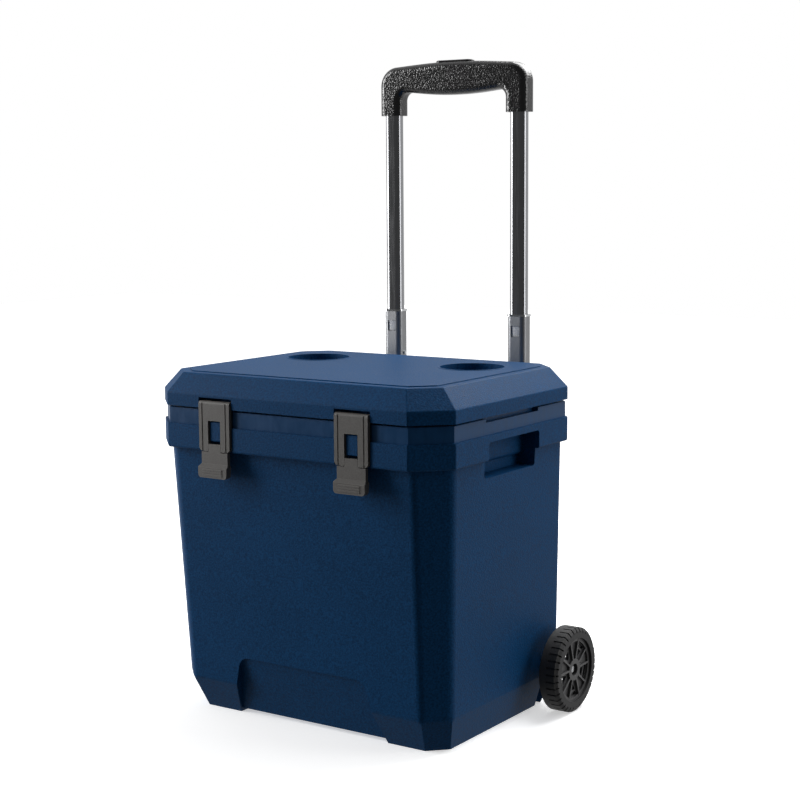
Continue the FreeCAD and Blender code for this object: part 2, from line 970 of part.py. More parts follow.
def lid_liner():
    plate = new_body("LinerPlate")
    outline = octagon("rim_half_x", "rim_half_y", "rim_corner", LID_FOAM_INSET)
    prism(plate, "XY_Plane", outline, LID_LOW, f"{LID_LOW} + plug_wall")
    outer = plug_form("PlugOutside", "0", f"{LID_LOW} - plug_drop", LID_LOW)
    inner = plug_form(
        "PlugInside", "plug_wall", f"{LID_LOW} - plug_drop + plug_wall", f"{LID_LOW} + lid_rim"
    )
    panel = cut(fuse([plate, outer]), inner)
    rooms = fuse([both_sides(notch_tool(LID_FOAM_INSET)), both_sides(hinge_tool(LID_FOAM_INSET))])
    finish(cut(panel, rooms), "lid_liner")


def lid_foam():
    block = lid_form("LidFoamBlock", LID_FOAM_INSET, f"{LID_LOW} + plug_wall + foam_gap")
    inset = "plug_wall + foam_gap"
    plug = plug_form(
        "PlugFoam", inset, f"{LID_LOW} - plug_drop + {inset}", f"{LID_LOW} + lid_rim / 2"
    )
    finish(cut(fuse([block, plug]), lid_spaces(LID_FOAM_INSET)), "lid_foam")


def lid_gasket():
    inner = plug_form("GasketInside", "-plug_gap / 2", "frame_top - 1", f"{LID_LOW} + 1")
    outer = plug_form(
        "GasketOutside", "-plug_gap / 2 - gasket_width", "frame_top + gasket_clear", LID_LOW
    )
    finish(cut(outer, inner), "lid_gasket")


# --- hinges ----------------------------------------------------------------------------


def bracket_screws_form(extra):
    """Two screws that hold the right-hand hinge bracket to the frame."""
    body = new_body("BracketScrewForm")
    start = "rim_half_y - frame_step - frame_wall"
    for side in ("-", "+"):
        x = f"hinge_x {side} hinge_half / 2"
        height = "(bracket_low + frame_top) / 2"
        rod(
            body,
            "XZ_Plane",
            x,
            height,
            f"screw_radius + ({extra})",
            start,
            "rim_half_y + screw_head_high",
        )
    return body


def hinge_brackets():
    body = new_body("BracketRight")
    face = "rim_half_y - frame_step + bracket_gap"
    plate = [
        (face, "bracket_low"),
        ("rim_half_y", "bracket_low"),
        ("rim_half_y", "hinge_z"),
        ("hinge_y - knuckle_radius", "hinge_z"),
        ("hinge_y - knuckle_radius / 2", "frame_top + hinge_clear / 2"),
        (face, "frame_top + hinge_clear / 2"),
    ]
    left = "hinge_x - hinge_half"
    right = "hinge_x + hinge_half"
    prism(body, "YZ_Plane", plate, left, right)
    rod(body, "YZ_Plane", "hinge_y", "hinge_z", "knuckle_radius", left, right)
    half = "(knuckle_half + knuckle_gap)"
    gap = rectangle("hinge_y - knuckle_radius * 2", FAR, "frame_top + hinge_clear / 4", FAR + 100)
    prism(body, "YZ_Plane", gap, f"hinge_x - {half}", f"hinge_x + {half}", cut=True)
    rod(body, "YZ_Plane", "hinge_y", "hinge_z", "pin_radius + pin_fit", left, right, cut=True)
    finish_pair(cut(body, bracket_screws_form("screw_fit")), "hinge_bracket")


def hinge_pins():
    body = new_body("HingePinRight")
    rod(
        body,
        "YZ_Plane",
        "hinge_y",
        "hinge_z",
        "pin_radius",
        "hinge_x - hinge_half",
        "hinge_x + hinge_half",
    )
    finish_pair(body, "hinge_pin")


def hinge_screws():
    heads = new_body("BracketScrewHeads")
    for side in ("-", "+"):
        x = f"hinge_x {side} hinge_half / 2"
        height = "(bracket_low + frame_top) / 2"
        rod(
            heads, "XZ_Plane", x, height, "screw_head", "rim_half_y", "rim_half_y + screw_head_high"
        )
    finish(both_sides(fuse([bracket_screws_form("0"), heads])), "hinge_screws")


# --- latches ---------------------------------------------------------------------------


def latch_pins():
    body = new_body("LatchPinRight")
    reach = f"({CHANNEL_HALF} + lid_wall)"
    rod(
        body,
        "YZ_Plane",
        "-link_pin_y",
        "link_pin_z",
        "pin_radius",
        f"latch_x - {reach}",
        f"latch_x + {reach}",
    )
    finish_pair(body, "latch_pin")


def latch_links():
    """The plate with two legs that hangs from the lid, with a window between the legs."""
    body = new_body("LinkRight")
    left = "latch_x - latch_half"
    right = "latch_x + latch_half"
    back = "-(link_front - link_thick)"
    top = "link_pin_z + link_barrel"
    side = [
        ("-link_front", "link_low"),
        (back, "link_low"),
        (back, "link_pin_z - link_barrel"),
        ("-link_pin_y", "link_pin_z - link_barrel"),
        ("-link_pin_y", top),
        ("-link_front", top),
    ]
    prism(body, "YZ_Plane", side, left, right)
    rod(body, "YZ_Plane", "-link_pin_y", "link_pin_z", "link_barrel", left, right)
    round_edges(body, "link_round", lambda edge: at_corner(edge, Y, "-link_front", Z, top))
    round_edges(body, "link_thick", is_leg_foot)
    window = rectangle("latch_x - slot_half_x", "latch_x + slot_half_x", "link_low - 1", "slot_top")
    prism(body, "XZ_Plane", window, "-link_front - 1", back, cut=True)
    for sign in ("-", "+"):
        groove = rectangle(
            f"latch_x {sign} groove_in",
            f"latch_x {sign} groove_out",
            "link_low - 1",
            f"{top} + 1",
        )
        prism(body, "XZ_Plane", groove, "-link_front", "-link_front + groove_deep", cut=True)
    rod(
        body, "YZ_Plane", "-link_pin_y", "link_pin_z", "pin_radius + pin_fit", left, right, cut=True
    )
    rod(
        body,
        "YZ_Plane",
        "-lever_pin_y",
        "lever_pin_z",
        "lever_pin_radius + pin_fit",
        left,
        right,
        cut=True,
    )
    finish_pair(body, "latch_link")


def is_leg_foot(edge):
    """The outer lower corners of the link's legs."""
    outside = abs(edge.CenterOfMass.x - number("latch_x")) > number("latch_half") - 0.1
    return runs(edge, Y) and lies_at(edge, Z, "link_low") and outside


def lever_pins():
    body = new_body("LeverPinRight")
    rod(
        body,
        "YZ_Plane",
        "-lever_pin_y",
        "lever_pin_z",
        "lever_pin_radius",
        "latch_x - latch_half + 1",
        "latch_x + latch_half - 1",
    )
    finish_pair(body, "lever_pin")


def latch_levers():
    """The pull-up lever: a tongue between the legs, shoulders below, a flared ribbed grip."""
    body = new_body("LeverRight")
    back = "-(link_front - link_thick)"
    front = [
        ("latch_x - tongue_half", "tongue_top"),
        ("latch_x - tongue_half", "lever_shoulder"),
        ("latch_x - lever_half", "lever_shoulder"),
        ("latch_x - lever_half", "grip_high"),
        ("latch_x - grip_half", "grip_high - grip_corner"),
        ("latch_x - grip_half", "grip_low"),
        ("latch_x + grip_half", "grip_low"),
        ("latch_x + grip_half", "grip_high - grip_corner"),
        ("latch_x + lever_half", "grip_high"),
        ("latch_x + lever_half", "lever_shoulder"),
        ("latch_x + tongue_half", "lever_shoulder"),
        ("latch_x + tongue_half", "tongue_top"),
    ]
    prism(body, "XZ_Plane", front, "-link_front - grip_flare - grip_rib", f"{back} + hook_deep + 1")
    round_edges(
        body, "grip_foot_round", lambda edge: runs(edge, Y) and lies_at(edge, Z, "grip_low")
    )
    round_edges(body, "shoulder_root_round", is_shoulder_root)
    above = [
        ("-link_front", "tongue_top + 1"),
        ("-link_front", "grip_high"),
        ("-link_front - grip_flare", "grip_high - grip_ramp"),
        ("-link_front - grip_flare", "grip_low - 1"),
        (-FAR, "grip_low - 1"),
        (-FAR, "tongue_top + 1"),
    ]
    prism(body, "YZ_Plane", above, "latch_x - grip_half - 1", "latch_x + grip_half + 1", cut=True)
    behind = [
        (f"{back}", "tongue_top + 1"),
        (f"{back}", "tongue_top - hook_top"),
        (f"{back} + hook_deep", "tongue_top - hook_top"),
        (f"{back} + hook_deep", "tongue_top - hook_low"),
        (f"{back}", "tongue_top - hook_foot"),
        (f"{back}", "grip_high"),
        (f"{back} - grip_flare / 2", "grip_low - 1"),
        (0, "grip_low - 1"),
        (0, "tongue_top + 1"),
    ]
    prism(body, "YZ_Plane", behind, "latch_x - grip_half - 1", "latch_x + grip_half + 1", cut=True)
    rod(
        body,
        "YZ_Plane",
        "-lever_pin_y",
        "lever_pin_z",
        "lever_pin_radius + pin_fit",
        "latch_x - grip_half",
        "latch_x + grip_half",
        cut=True,
    )
    grip_ribs(body)
    finish_pair(body, "latch_lever")


def is_shoulder_root(edge):
    """The inner corners where the tongue meets the shoulders."""
    near = abs(abs(edge.CenterOfMass.x - number("latch_x")) - number("tongue_half")) < 0.1
    return runs(edge, Y) and lies_at(edge, Z, "lever_shoulder") and near


def grip_ribs(body):
    """Three raised bars across the lever's grip."""
    face = "-link_front - grip_flare"
    for row in (1, 2, 3):
        low = f"grip_low + {row} * grip_rib_pitch"
        high = f"{low} + grip_rib_pitch / 2"
        bar = rectangle("latch_x - grip_rib_half", "latch_x + grip_rib_half", low, high)
        prism(body, "XZ_Plane", bar, f"{face} - grip_rib", f"{face} + grip_rib")


# --- wheels ----------------------------------------------------------------------------


def wheel_body(name):
    """A body whose X axis lies along the right-hand axle."""
    body = new_body(name)
    body.setExpression("Placement.Base.y", bound("axle_y"))
    body.setExpression("Placement.Base.z", bound(WHEEL_Z))
    return body


def finish_wheel_pair(body, label):
    """Both wheels' copies of a piece made about the origin's X axis."""
    right = doc.addObject("Part::Compound", "Placed")
    right.Links = [body]
    finish_pair(right, label)


def wheel_rims():
    body = wheel_body("RimRight")
    ring_in = "rim_radius - rim_ring"
    section = [
        ("wheel_inner_x + rim_side", ring_in),
        ("wheel_outer_x - rim_side", ring_in),
        ("wheel_outer_x - rim_side", "rim_radius"),
        ("wheel_inner_x + rim_side", "rim_radius"),
    ]
    revolve(body, "XY_Plane", section, "X_Axis")
    web = rectangle("web_x", "web_x + web_thick", "axle_radius * 2", f"{ring_in} + 1")
    revolve(body, "XY_Plane", web, "X_Axis")
    hub = rectangle("wheel_inner_x", "rib_front", "axle_radius + axle_fit", "hub_radius")
    revolve(body, "XY_Plane", hub, "X_Axis")
    window = spoke_window()
    flat = sketch(body, "YZ_Plane", "web_x - 1")
    draw(flat, window)
    opening = extrude(body, flat, "web_thick + 2", True)
    repeat_round(body, [opening], "X_Axis", "spoke_count")
    ribs = []
    for sign in ("-", "+"):
        rib = [
            (f"{sign}(spoke_near)", "hub_radius - 1"),
            (f"{sign}(spoke_near - rib_thick)", "hub_radius - 1"),
            (f"{sign}(spoke_far - rib_thick)", f"{ring_in} + 0.5"),
            (f"{sign}(spoke_far)", f"{ring_in} + 0.5"),
        ]
        ribs.append(prism(body, "YZ_Plane", rib, "web_x", "rib_front"))
    repeat_round(body, ribs, "X_Axis", "spoke_count")
    chord = chord_rib()
    bar = prism(body, "YZ_Plane", chord, "web_x - chord_drop", "web_x + web_thick")
    repeat_round(body, [bar], "X_Axis", "spoke_count")
    pocket = rectangle("hub_pocket_x", "rib_front + 1", "0", "hub_pocket_radius")
    revolve(body, "XY_Plane", pocket, "X_Axis", cut=True)
    finish_wheel_pair(body, "wheel_rim")


def turned(across, out):
    """A point given beside a spoke's axis, turned half way to the next spoke."""
    half_pitch = math.pi / number("spoke_count")
    cosine = f"{math.cos(half_pitch):.6f}"
    sine = f"{math.sin(half_pitch):.6f}"
    return (
        f"({across}) * {cosine} - ({out}) * {sine}",
        f"({across}) * {sine} + ({out}) * {cosine}",
    )


def spoke_window():
    """The opening between two spokes, symmetrical about its own middle line."""
    far = "rim_radius - rim_ring - window_rim_gap"
    return [
        turned("-window_narrow", "window_near"),
        turned("window_narrow", "window_near"),
        turned("window_wide", far),
        turned("-window_wide", far),
    ]


def chord_rib():
    """The bar across a window near its outer end."""
    far = "chord_radius + rib_thick"
    return [
        turned("-window_wide", "chord_radius"),
        turned("window_wide", "chord_radius"),
        turned("window_wide", far),
        turned("-window_wide", far),
    ]


def tyres():
    body = wheel_body("TyreRight")
    section = [
        ("wheel_inner_x", "rim_radius"),
        ("wheel_outer_x", "rim_radius"),
        ("wheel_outer_x", "wheel_radius - tyre_shoulder"),
        ("wheel_outer_x - tyre_shoulder_side", "wheel_radius"),
        ("wheel_inner_x + tyre_shoulder_side", "wheel_radius"),
        ("wheel_inner_x", "wheel_radius - tyre_shoulder"),
    ]
    revolve(body, "XY_Plane", section, "X_Axis")
    gaps = []
    for start, deep in (
        ("tread_inner_x", "tread_deep"),
        ("wheel_outer_x - tread_side", "tread_side_deep"),
    ):
        low = f"wheel_radius - {deep}"
        slot = rectangle("-tread_gap / 2", "tread_gap / 2", low, "wheel_radius + 1")
        gaps.append(prism(body, "YZ_Plane", slot, start, "wheel_outer_x + 1", cut=True))
    repeat_round(body, gaps, "X_Axis", "tread_count")
    finish_wheel_pair(body, "tyre")


def axle_ring(name, radius, low, high):
    """A ring round the right-hand end of the axle."""
    ring = new_body(name)
    rod(ring, "YZ_Plane", "axle_y", WHEEL_Z, radius, low, high)
    rod(ring, "YZ_Plane", "axle_y", WHEEL_Z, "axle_radius + axle_fit", low, high, cut=True)
    return ring


def axle_pieces():
    axle = new_body("Axle")
    rod(axle, "YZ_Plane", "axle_y", WHEEL_Z, "axle_radius", "-axle_half", "axle_half")
    finish(axle, "axle")
    outside = "wheel_inner_x - washer_gap"
    inside = f"{outside} - washer_thick"
    finish(both_sides(axle_ring("Washer", "washer_radius", inside, outside)), "wheel_washers")
    spacer = axle_ring("Spacer", "spacer_radius", "spacer_x", f"{inside} - washer_gap / 2")
    finish(both_sides(spacer), "axle_spacers")
    nut = new_body("PushNut")
    seat = "hub_pocket_x + nut_gap"
    rod(nut, "YZ_Plane", "axle_y", WHEEL_Z, "nut_radius", seat, f"{seat} + nut_thick")
    rod(nut, "YZ_Plane", "axle_y", WHEEL_Z, "axle_radius", seat, f"{seat} + nut_thick", cut=True)
    finish(both_sides(nut), "push_nuts")


def axle_clamps():
    """The block in the axle's groove on the right, with its bore."""
    body = new_body("ClampRight")
    half = "groove_half - foam_gap"
    side = rectangle(
        f"axle_y - ({half})", f"axle_y + ({half})", f"{WHEEL_Z} - clamp_drop", f"{WHEEL_Z} + {half}"
    )
    prism(body, "YZ_Plane", side, "clamp_x - clamp_half", "clamp_x + clamp_half")
    rod(
        body,
        "YZ_Plane",
        "axle_y",
        WHEEL_Z,
        "axle_radius + axle_fit / 2",
        "clamp_x - clamp_half",
        "clamp_x + clamp_half",
        cut=True,
    )
    finish_pair(body, "axle_clamp")


# --- the handle ------------------------------------------------------------------------


def tube_plan(half_x, half_y, inset="0"):
    return rectangle(
        f"tube_x - ({half_x} - ({inset}))",
        f"tube_x + ({half_x} - ({inset}))",
        f"tube_y - ({half_y} - ({inset}))",
        f"tube_y + ({half_y} - ({inset}))",
    )


def tube_block(name, half_x, half_y, inset, low, high):
    """A solid of the tube's section, with its upright edges rounded."""
    body = new_body(name)
    prism(body, "XY_Plane", tube_plan(half_x, half_y, inset), low, high)
    round_edges(body, f"tube_round - ({inset})", lambda edge: runs(edge, Z))
    return body


def tube(name, half_x, half_y, low, high):
    outer = tube_block(name + "Outside", half_x, half_y, "0", low, high)
    inner = tube_block(name + "Inside", half_x, half_y, "tube_wall", f"{low} - 1", f"{high} + 1")
    return cut(outer, inner)


def lock_window(extra):
    body = new_body("LockWindow")
    half = f"(window_half + ({extra}))"
    face = rectangle(
        f"tube_x - {half}",
        f"tube_x + {half}",
        f"window_low - ({extra})",
        f"window_high + ({extra})",
    )
    prism(body, "XZ_Plane", face, "tube_y - outer_half_y - 5", "tube_y")
    return body


def rivet_form(extra):
    """The rivet through the inner side of the right-hand outer tube."""
    body = new_body("RivetForm")
    face = "tube_x - outer_half_x"
    rod(
        body,
        "YZ_Plane",
        "tube_y",
        "rivet_z",
        f"rivet_radius / 2 + ({extra})",
        f"{face} - 0.1",
        f"{face} + tube_wall",
    )
    return body


def outer_tubes():
    plain = tube("OuterTube", "outer_half_x", "outer_half_y", "outer_low", "outer_top")
    openings = fuse([lock_window("0"), rivet_form("screw_fit")])
    finish_pair(cut(plain, openings), "outer_tube")


def tube_rivets():
    head = new_body("RivetHead")
    face = "tube_x - outer_half_x"
    rod(head, "YZ_Plane", "tube_y", "rivet_z", "rivet_radius", f"{face} - rivet_rise", face)
    finish(both_sides(fuse([head, rivet_form("0")])), "tube_rivets")


def tube_collars():
    """The guide in each outer tube's mouth, with a lip over the tube's end."""
    lip = tube_block(
        "CollarLip",
        "outer_half_x + collar_lip",
        "outer_half_y + collar_lip",
        "0",
        "outer_top",
        "outer_top + collar_rise",
    )
    sleeve = tube_block(
        "CollarSleeve",
        "outer_half_x - foam_gap",
        "outer_half_y - foam_gap",
        "tube_wall",
        "outer_top - collar_depth / 2",
        "outer_top",
    )
    bore = tube_block(
        "CollarBore",
        "inner_half_x + collar_fit",
        "inner_half_y + collar_fit",
        "0",
        "outer_top - collar_depth",
        "outer_top + collar_rise + 1",
    )
    finish_pair(cut(fuse([lip, sleeve]), bore), "tube_collar")


def inner_tubes():
    plain = tube("InnerTube", "inner_half_x", "inner_half_y", "inner_low", "inner_top")
    finish_pair(cut(plain, lock_window("lock_fit")), "inner_tube")


def tube_glides():
    """The plug in each inner tube's foot, with the lock pin that shows in the window."""
    plug = tube_block(
        "GlidePlug",
        "inner_half_x - foam_gap",
        "inner_half_y - foam_gap",
        "tube_wall",
        "inner_low",
        "glide_high",
    )
    foot = tube_block(
        "GlideFoot",
        "outer_half_x - collar_fit",
        "outer_half_y - collar_fit",
        "tube_wall",
        "inner_low - glide_foot",
        "inner_low - foam_gap",
    )
    neck = tube_block(
        "GlideNeck",
        "inner_half_x - foam_gap",
        "inner_half_y - foam_gap",
        "tube_wall * 2",
        "inner_low - 1",
        "inner_low + 1",
    )
    lock = new_body("LockPin")
    face = rectangle("tube_x - window_half", "tube_x + window_half", "window_low", "window_high")
    front = "tube_y - outer_half_y + tube_wall + lock_back"
    prism(lock, "XZ_Plane", face, front, "tube_y")
    bore = new_body("GlideBore")
    rod(
        bore,
        "XY_Plane",
        "tube_x",
        "tube_y",
        "rod_radius",
        "glide_high - rod_seat",
        "glide_high + 1",
    )
    finish_pair(cut(fuse([plug, foot, neck, lock]), bore), "tube_glide")


def pull_rods():
    body = new_body("PullRod")
    rod(
        body, "XY_Plane", "tube_x", "tube_y", "rod_radius", "glide_high - rod_seat", "inner_top - 1"
    )
    finish_pair(body, "pull_rod")


def housing_plan():
    """The housing seen from above, right half: a column round the tube and a thin plate."""
    return [
        ("0", "0"),
        ("housing_half_x", "0"),
        ("housing_half_x", "housing_back"),
        ("housing_inner_x", "housing_back"),
        ("housing_inner_x", "housing_plate_back"),
        ("0", "housing_plate_back"),
    ]


def housing_hollow():
    """The right half of the housing's inside, open to the back wall, round its screw bosses."""
    body = new_body("HousingHollow")
    plan = [
        ("0", "1"),
        ("housing_half_x - housing_wall", "1"),
        ("housing_half_x - housing_wall", "tube_y - outer_half_y - housing_wall"),
        ("housing_inner_x + housing_wall", "tube_y - outer_half_y - housing_wall"),
        ("housing_inner_x + housing_wall", "housing_plate_back - housing_wall"),
        ("0", "housing_plate_back - housing_wall"),
    ]
    prism(body, "XY_Plane", plan, "housing_low + housing_wall", "housing_high - housing_wall")
    for height in ("housing_screw_low", "housing_screw_high"):
        boss = "housing_screw_radius + housing_wall"
        rod(body, "XZ_Plane", "housing_screw_x", height, boss, "0", "housing_plate_back", cut=True)
    return body


def handle_housing():
    body = new_body("HousingHalf")
    prism(body, "XY_Plane", housing_plan(), "housing_low", "housing_high")
    round_edges(
        body, "housing_round", lambda edge: runs(edge, Z) and lies_at(edge, Y, "housing_back")
    )
    against = hull_form("HousingSeat", "-housing_fit", "rim_top + 1")
    seat = tube_block(
        "TubeSocket",
        "outer_half_x + housing_fit",
        "outer_half_y + housing_fit",
        "0",
        "outer_low",
        "housing_high + 1",
    )
    screws = both_sides(housing_screws_form("screw_fit"))
    openings = fuse([both_sides(seat), against, screws, both_sides(housing_hollow())])
    finish(cut(both_sides(body), openings), "handle_housing")


def housing_screws():
    heads = new_body("HousingScrewHeads")
    for height in ("housing_screw_low", "housing_screw_high"):
        rod(
            heads,
            "XZ_Plane",
            "housing_screw_x",
            height,
            "housing_screw_head",
            "housing_plate_back",
            "housing_plate_back + housing_screw_rise",
        )
    finish(both_sides(fuse([housing_screws_form("0"), heads])), "housing_screws")


def grip_form(name):
    """The whole grip: two legs over the tubes, a crowned bar between them."""
    body = new_body(name)
    outer = "(tube_x + leg_half_x)"
    inner = "(tube_x - leg_half_x)"
    outline = [
        (f"-{outer}", "leg_low"),
        (f"-{inner}", "leg_low"),
        (f"-{inner}", "arch_under_side"),
        ("0", "arch_under_mid"),
        (inner, "arch_under_side"),
        (inner, "leg_low"),
        (outer, "leg_low"),
        (outer, "shoulder_top"),
        ("0", "crown_top"),
        (f"-{outer}", "shoulder_top"),
    ]
    prism(body, "XZ_Plane", outline, "tube_y - grip_half_y", "tube_y + grip_half_y")
    round_edges(
        body, "shoulder_round", lambda edge: runs(edge, Y) and lies_at(edge, Z, "shoulder_top")
    )
    round_edges(
        body, "armpit_round", lambda edge: runs(edge, Y) and lies_at(edge, Z, "arch_under_side")
    )
    round_edges(body, "crown_round", lambda edge: runs(edge, Y) and lies_at(edge, Z, "crown_top"))
    round_edges(
        body, "sag_round", lambda edge: runs(edge, Y) and lies_at(edge, Z, "arch_under_mid")
    )
    round_edges(body, "grip_edge", is_grip_edge)
    return body


def is_grip_edge(edge):
    """Every edge of the grip's front and back faces but those round the legs' mouths."""
    face = lies_at(edge, Y, "tube_y - grip_half_y") or lies_at(edge, Y, "tube_y + grip_half_y")
    return face and not lies_at(edge, Z, "leg_low")


def grip_rooms():
    """What is hollow in the grip: the tubes' sockets, the rods' way and the button's room."""
    socket = tube_block(
        "GripSocket",
        "inner_half_x + foam_gap / 2",
        "inner_half_y + foam_gap / 2",
        "0",
        "leg_low - 1",
        "inner_top + 0.2",
    )
    room = new_body("GripRoom")
    prism(
        room,
        "XY_Plane",
        rectangle(
            "-cavity_half_x", "cavity_half_x", "tube_y - cavity_half_y", "tube_y + cavity_half_y"
        ),
        "cavity_low",
        "cavity_high",
    )
    mouth_low = "button_low - button_travel - button_gap"
    mouth = button_plan("ButtonMouth", "button_gap", mouth_low, "button_top + 2")
    return fuse([both_sides(socket), room, mouth])


def button_plan(name, extra, low, high):
    """The button's long round outline, grown by extra."""
    body = new_body(name)
    half_x = f"button_half_x + ({extra})"
    half_y = f"button_half_y + ({extra})"
    plan = rectangle(f"-({half_x})", half_x, f"tube_y - ({half_y})", f"tube_y + ({half_y})")
    prism(body, "XY_Plane", plan, low, high)
    round_edges(body, f"{half_y} - 0.1", lambda edge: runs(edge, Z))
    return body


def grip_half(name, low, high):
    body = new_body(name)
    prism(body, "XY_Plane", rectangle(-FAR, FAR, "0", FAR), low, high)
    return common(cut(grip_form(name + "Form"), grip_rooms()), body)


def grips():
    finish(grip_half("GripBottom", "leg_low - 1", "parting_z - parting_gap / 2"), "grip_bottom")
    finish(grip_half("GripTop", "parting_z + parting_gap / 2", "button_top + 10"), "grip_top")


def release_button():
    crown = button_plan("ButtonCrown", "0", "button_low", "button_top")
    round_edges(crown, "button_skirt", lambda edge: lies_at(edge, Z, "button_top"))
    finish(crown, "release_button")


def button_spring():
    """A coil under the button, as a stack of turns on one helix."""
    wire = doc.addObject("Part::Helix", "SpringPath")
    low = "cavity_low + spring_wire"
    high = "button_low - spring_wire"
    wire.setExpression("Height", bound(f"({high}) - ({low})"))
    wire.setExpression("Pitch", bound(f"(({high}) - ({low})) / spring_turns"))
    wire.setExpression("Radius", bound("spring_radius"))
    wire.setExpression("Placement.Base.y", bound("tube_y"))
    wire.setExpression("Placement.Base.z", bound(low))
    ring = doc.addObject("Part::Circle", "SpringSection")
    ring.setExpression("Radius", bound("spring_wire / 2"))
    ring.Placement = FreeCAD.Placement(
        FreeCAD.Vector(number("spring_radius"), number("tube_y"), number(low)),
        FreeCAD.Rotation(FreeCAD.Vector(1, 0, 0), 90),
    )
    coil = doc.addObject("Part::Sweep", "Coil")
    coil.Sections = [ring]
    coil.Spine = wire
    coil.Solid = True
    coil.Frenet = True
    finish(coil, "button_spring")


# --- the whole model -------------------------------------------------------------------


def check_document():
    doc.recompute()
    for feature in doc.Objects:
        if {"Invalid", "Error"} & set(feature.State):
            raise RuntimeError(f"{feature.Name} ({feature.Label}) failed: {feature.State}")
    for piece in pieces:
        if piece.Shape.isNull() or not piece.Shape.isValid() or not piece.Shape.Solids:
            raise RuntimeError(f"{piece.Label} has no valid solid")


def write_pieces():
    os.makedirs("parts", exist_ok=True)
    for piece in pieces:
        piece.Shape.exportStep(f"parts/{piece.Label}.step")
        print(piece.Label, len(piece.Shape.Solids), round(piece.Shape.Volume))


def main():
    fill_sheet()
    body_shell()
    body_liner()
    body_foam()
    top_frame()
    lid_shell()
    lid_liner()
    lid_foam()
    lid_gasket()
    hinge_brackets()
    hinge_pins()
    hinge_screws()
    latch_pins()
    latch_links()
    lever_pins()
    latch_levers()
    wheel_rims()
    tyres()
    axle_pieces()
    axle_clamps()
    outer_tubes()
    tube_rivets()
    tube_collars()
    inner_tubes()
    tube_glides()
    pull_rods()
    handle_housing()
    housing_screws()
    grips()
    release_button()
    button_spring()
    check_document()
    write_pieces()


main()
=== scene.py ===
"""Looks for a hard cooler on two wheels: finishes, trim, floor, light and camera, in metres."""

import math
from collections import namedtuple

import bmesh
import bpy
from mathutils import Matrix, Vector


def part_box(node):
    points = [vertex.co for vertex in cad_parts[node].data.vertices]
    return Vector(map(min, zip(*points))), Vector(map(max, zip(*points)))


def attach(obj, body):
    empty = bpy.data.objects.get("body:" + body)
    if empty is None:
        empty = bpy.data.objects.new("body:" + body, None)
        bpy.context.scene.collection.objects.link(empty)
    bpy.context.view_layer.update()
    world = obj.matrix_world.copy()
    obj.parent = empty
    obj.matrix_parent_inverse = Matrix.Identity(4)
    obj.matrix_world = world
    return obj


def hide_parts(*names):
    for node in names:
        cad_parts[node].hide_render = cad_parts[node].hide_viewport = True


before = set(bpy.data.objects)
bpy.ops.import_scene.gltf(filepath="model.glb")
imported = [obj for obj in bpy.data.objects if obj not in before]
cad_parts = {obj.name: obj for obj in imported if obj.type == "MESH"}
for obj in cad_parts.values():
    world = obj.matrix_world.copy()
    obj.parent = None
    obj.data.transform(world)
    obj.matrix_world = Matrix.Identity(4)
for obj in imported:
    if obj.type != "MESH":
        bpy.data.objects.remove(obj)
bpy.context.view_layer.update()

bl_info = {
    "name": "Wheeled cooler",
    "version": (1, 0, 0),
    "blender": (4, 5, 0),
    "location": "3D view > Sidebar > Cooler",
    "description": "Finishes and trims a hard cooler with a pull handle, piece by piece",
    "category": "Object",
}

MM = 0.001

# Sizes that the trim shares with the parts it sits on.
TUBE_WALL = 1.2 * MM
WINDOW_HALF = 6.5 * MM
WINDOW_LOW = 467 * MM
WINDOW_HIGH = 481.5 * MM
SHANK_RADIUS = 2.5 * MM
HEAD_RADIUS = 5 * MM
HEAD_RISE = 3 * MM

# How the trim is modelled: roundings, how many sides a circle has, and what a test lets by.
PAD_BEVEL = 0.06 * MM
SCREW_BEVEL = 0.12 * MM
BEVEL_SEGMENTS = 2
SHARP_ANGLE = 40
SMOOTH_ANGLE = 35
CIRCLE_SIDES = 36
RIM_SEGMENTS = 5
RECESS_TAPER = 0.6
LEEWAY = 0.1 * MM
SQUARELY = 0.9

# A scuffed tread fades in over this much of the tyre's radius.
TREAD_FADE = 2 * MM

# Painted light on the floor: its glow rises from under the cooler to the sheet further out.
GLOW_START = 0.3
GLOW_END = 1.6
GLOW_NEAR = 0.5
GLOW_FAR = 1.0

# The room's light: bright walls, and a dark screen round the way to the camera. The edges
# are cosines of the angle from that way, and heights count less than distances do.
WALL_LIGHT = 0.7
SCREEN_LIGHT = 0.09
WALL_EDGE = -0.15
SCREEN_EDGE = 0.4
HEIGHT_SHARE = 0.35

# Each softbox: its azimuth in degrees, distance, height, width and length, and watts.
SOFTBOXES = {
    "top_softbox": (165, 1.2, 1.9, (1.6, 1.6), 48),
    "left_softbox": (-62, 2.4, 1.0, (0.8, 2.0), 50),
    "right_softbox": (112, 2.4, 0.9, (1.0, 1.8), 15),
}
SOFTBOX_AIM = Vector((0, 0, 0.35))

# Where the cooler is looked at from: the camera's place, and its turn in degrees.
CAMERA_PLACE = (1.2350, -1.7399, 0.6732)
CAMERA_YAW = 34.171
CAMERA_PITCH = 7.355
CAMERA_ROLL = -0.403
FOCAL_LENGTH = 75.77
SENSOR_WIDTH = 36


# --- colours, nodes and materials ------------------------------------------------------

Skin = namedtuple("Skin", "material tree place base shader")


def linear(code):
    """An sRGB hex colour as the linear colour that the sockets want."""
    parts = [int(code[i : i + 2], 16) / 255 for i in (1, 3, 5)]
    return [
        part / 12.92 if part <= 0.04045 else ((part + 0.055) / 1.055) ** 2.4
        for part in parts
    ] + [1.0]


def add(tree, kind, settings=None, sockets=None, links=None):
    """Adds one node, with its settings, its sockets' values and the sockets that feed it."""
    made = tree.nodes.new(kind)
    for name, value in (settings or {}).items():
        setattr(made, name, value)
    for name, value in (sockets or {}).items():
        made.inputs[name].default_value = value
    for name, source in (links or {}).items():
        tree.links.new(source, made.inputs[name])
    return made


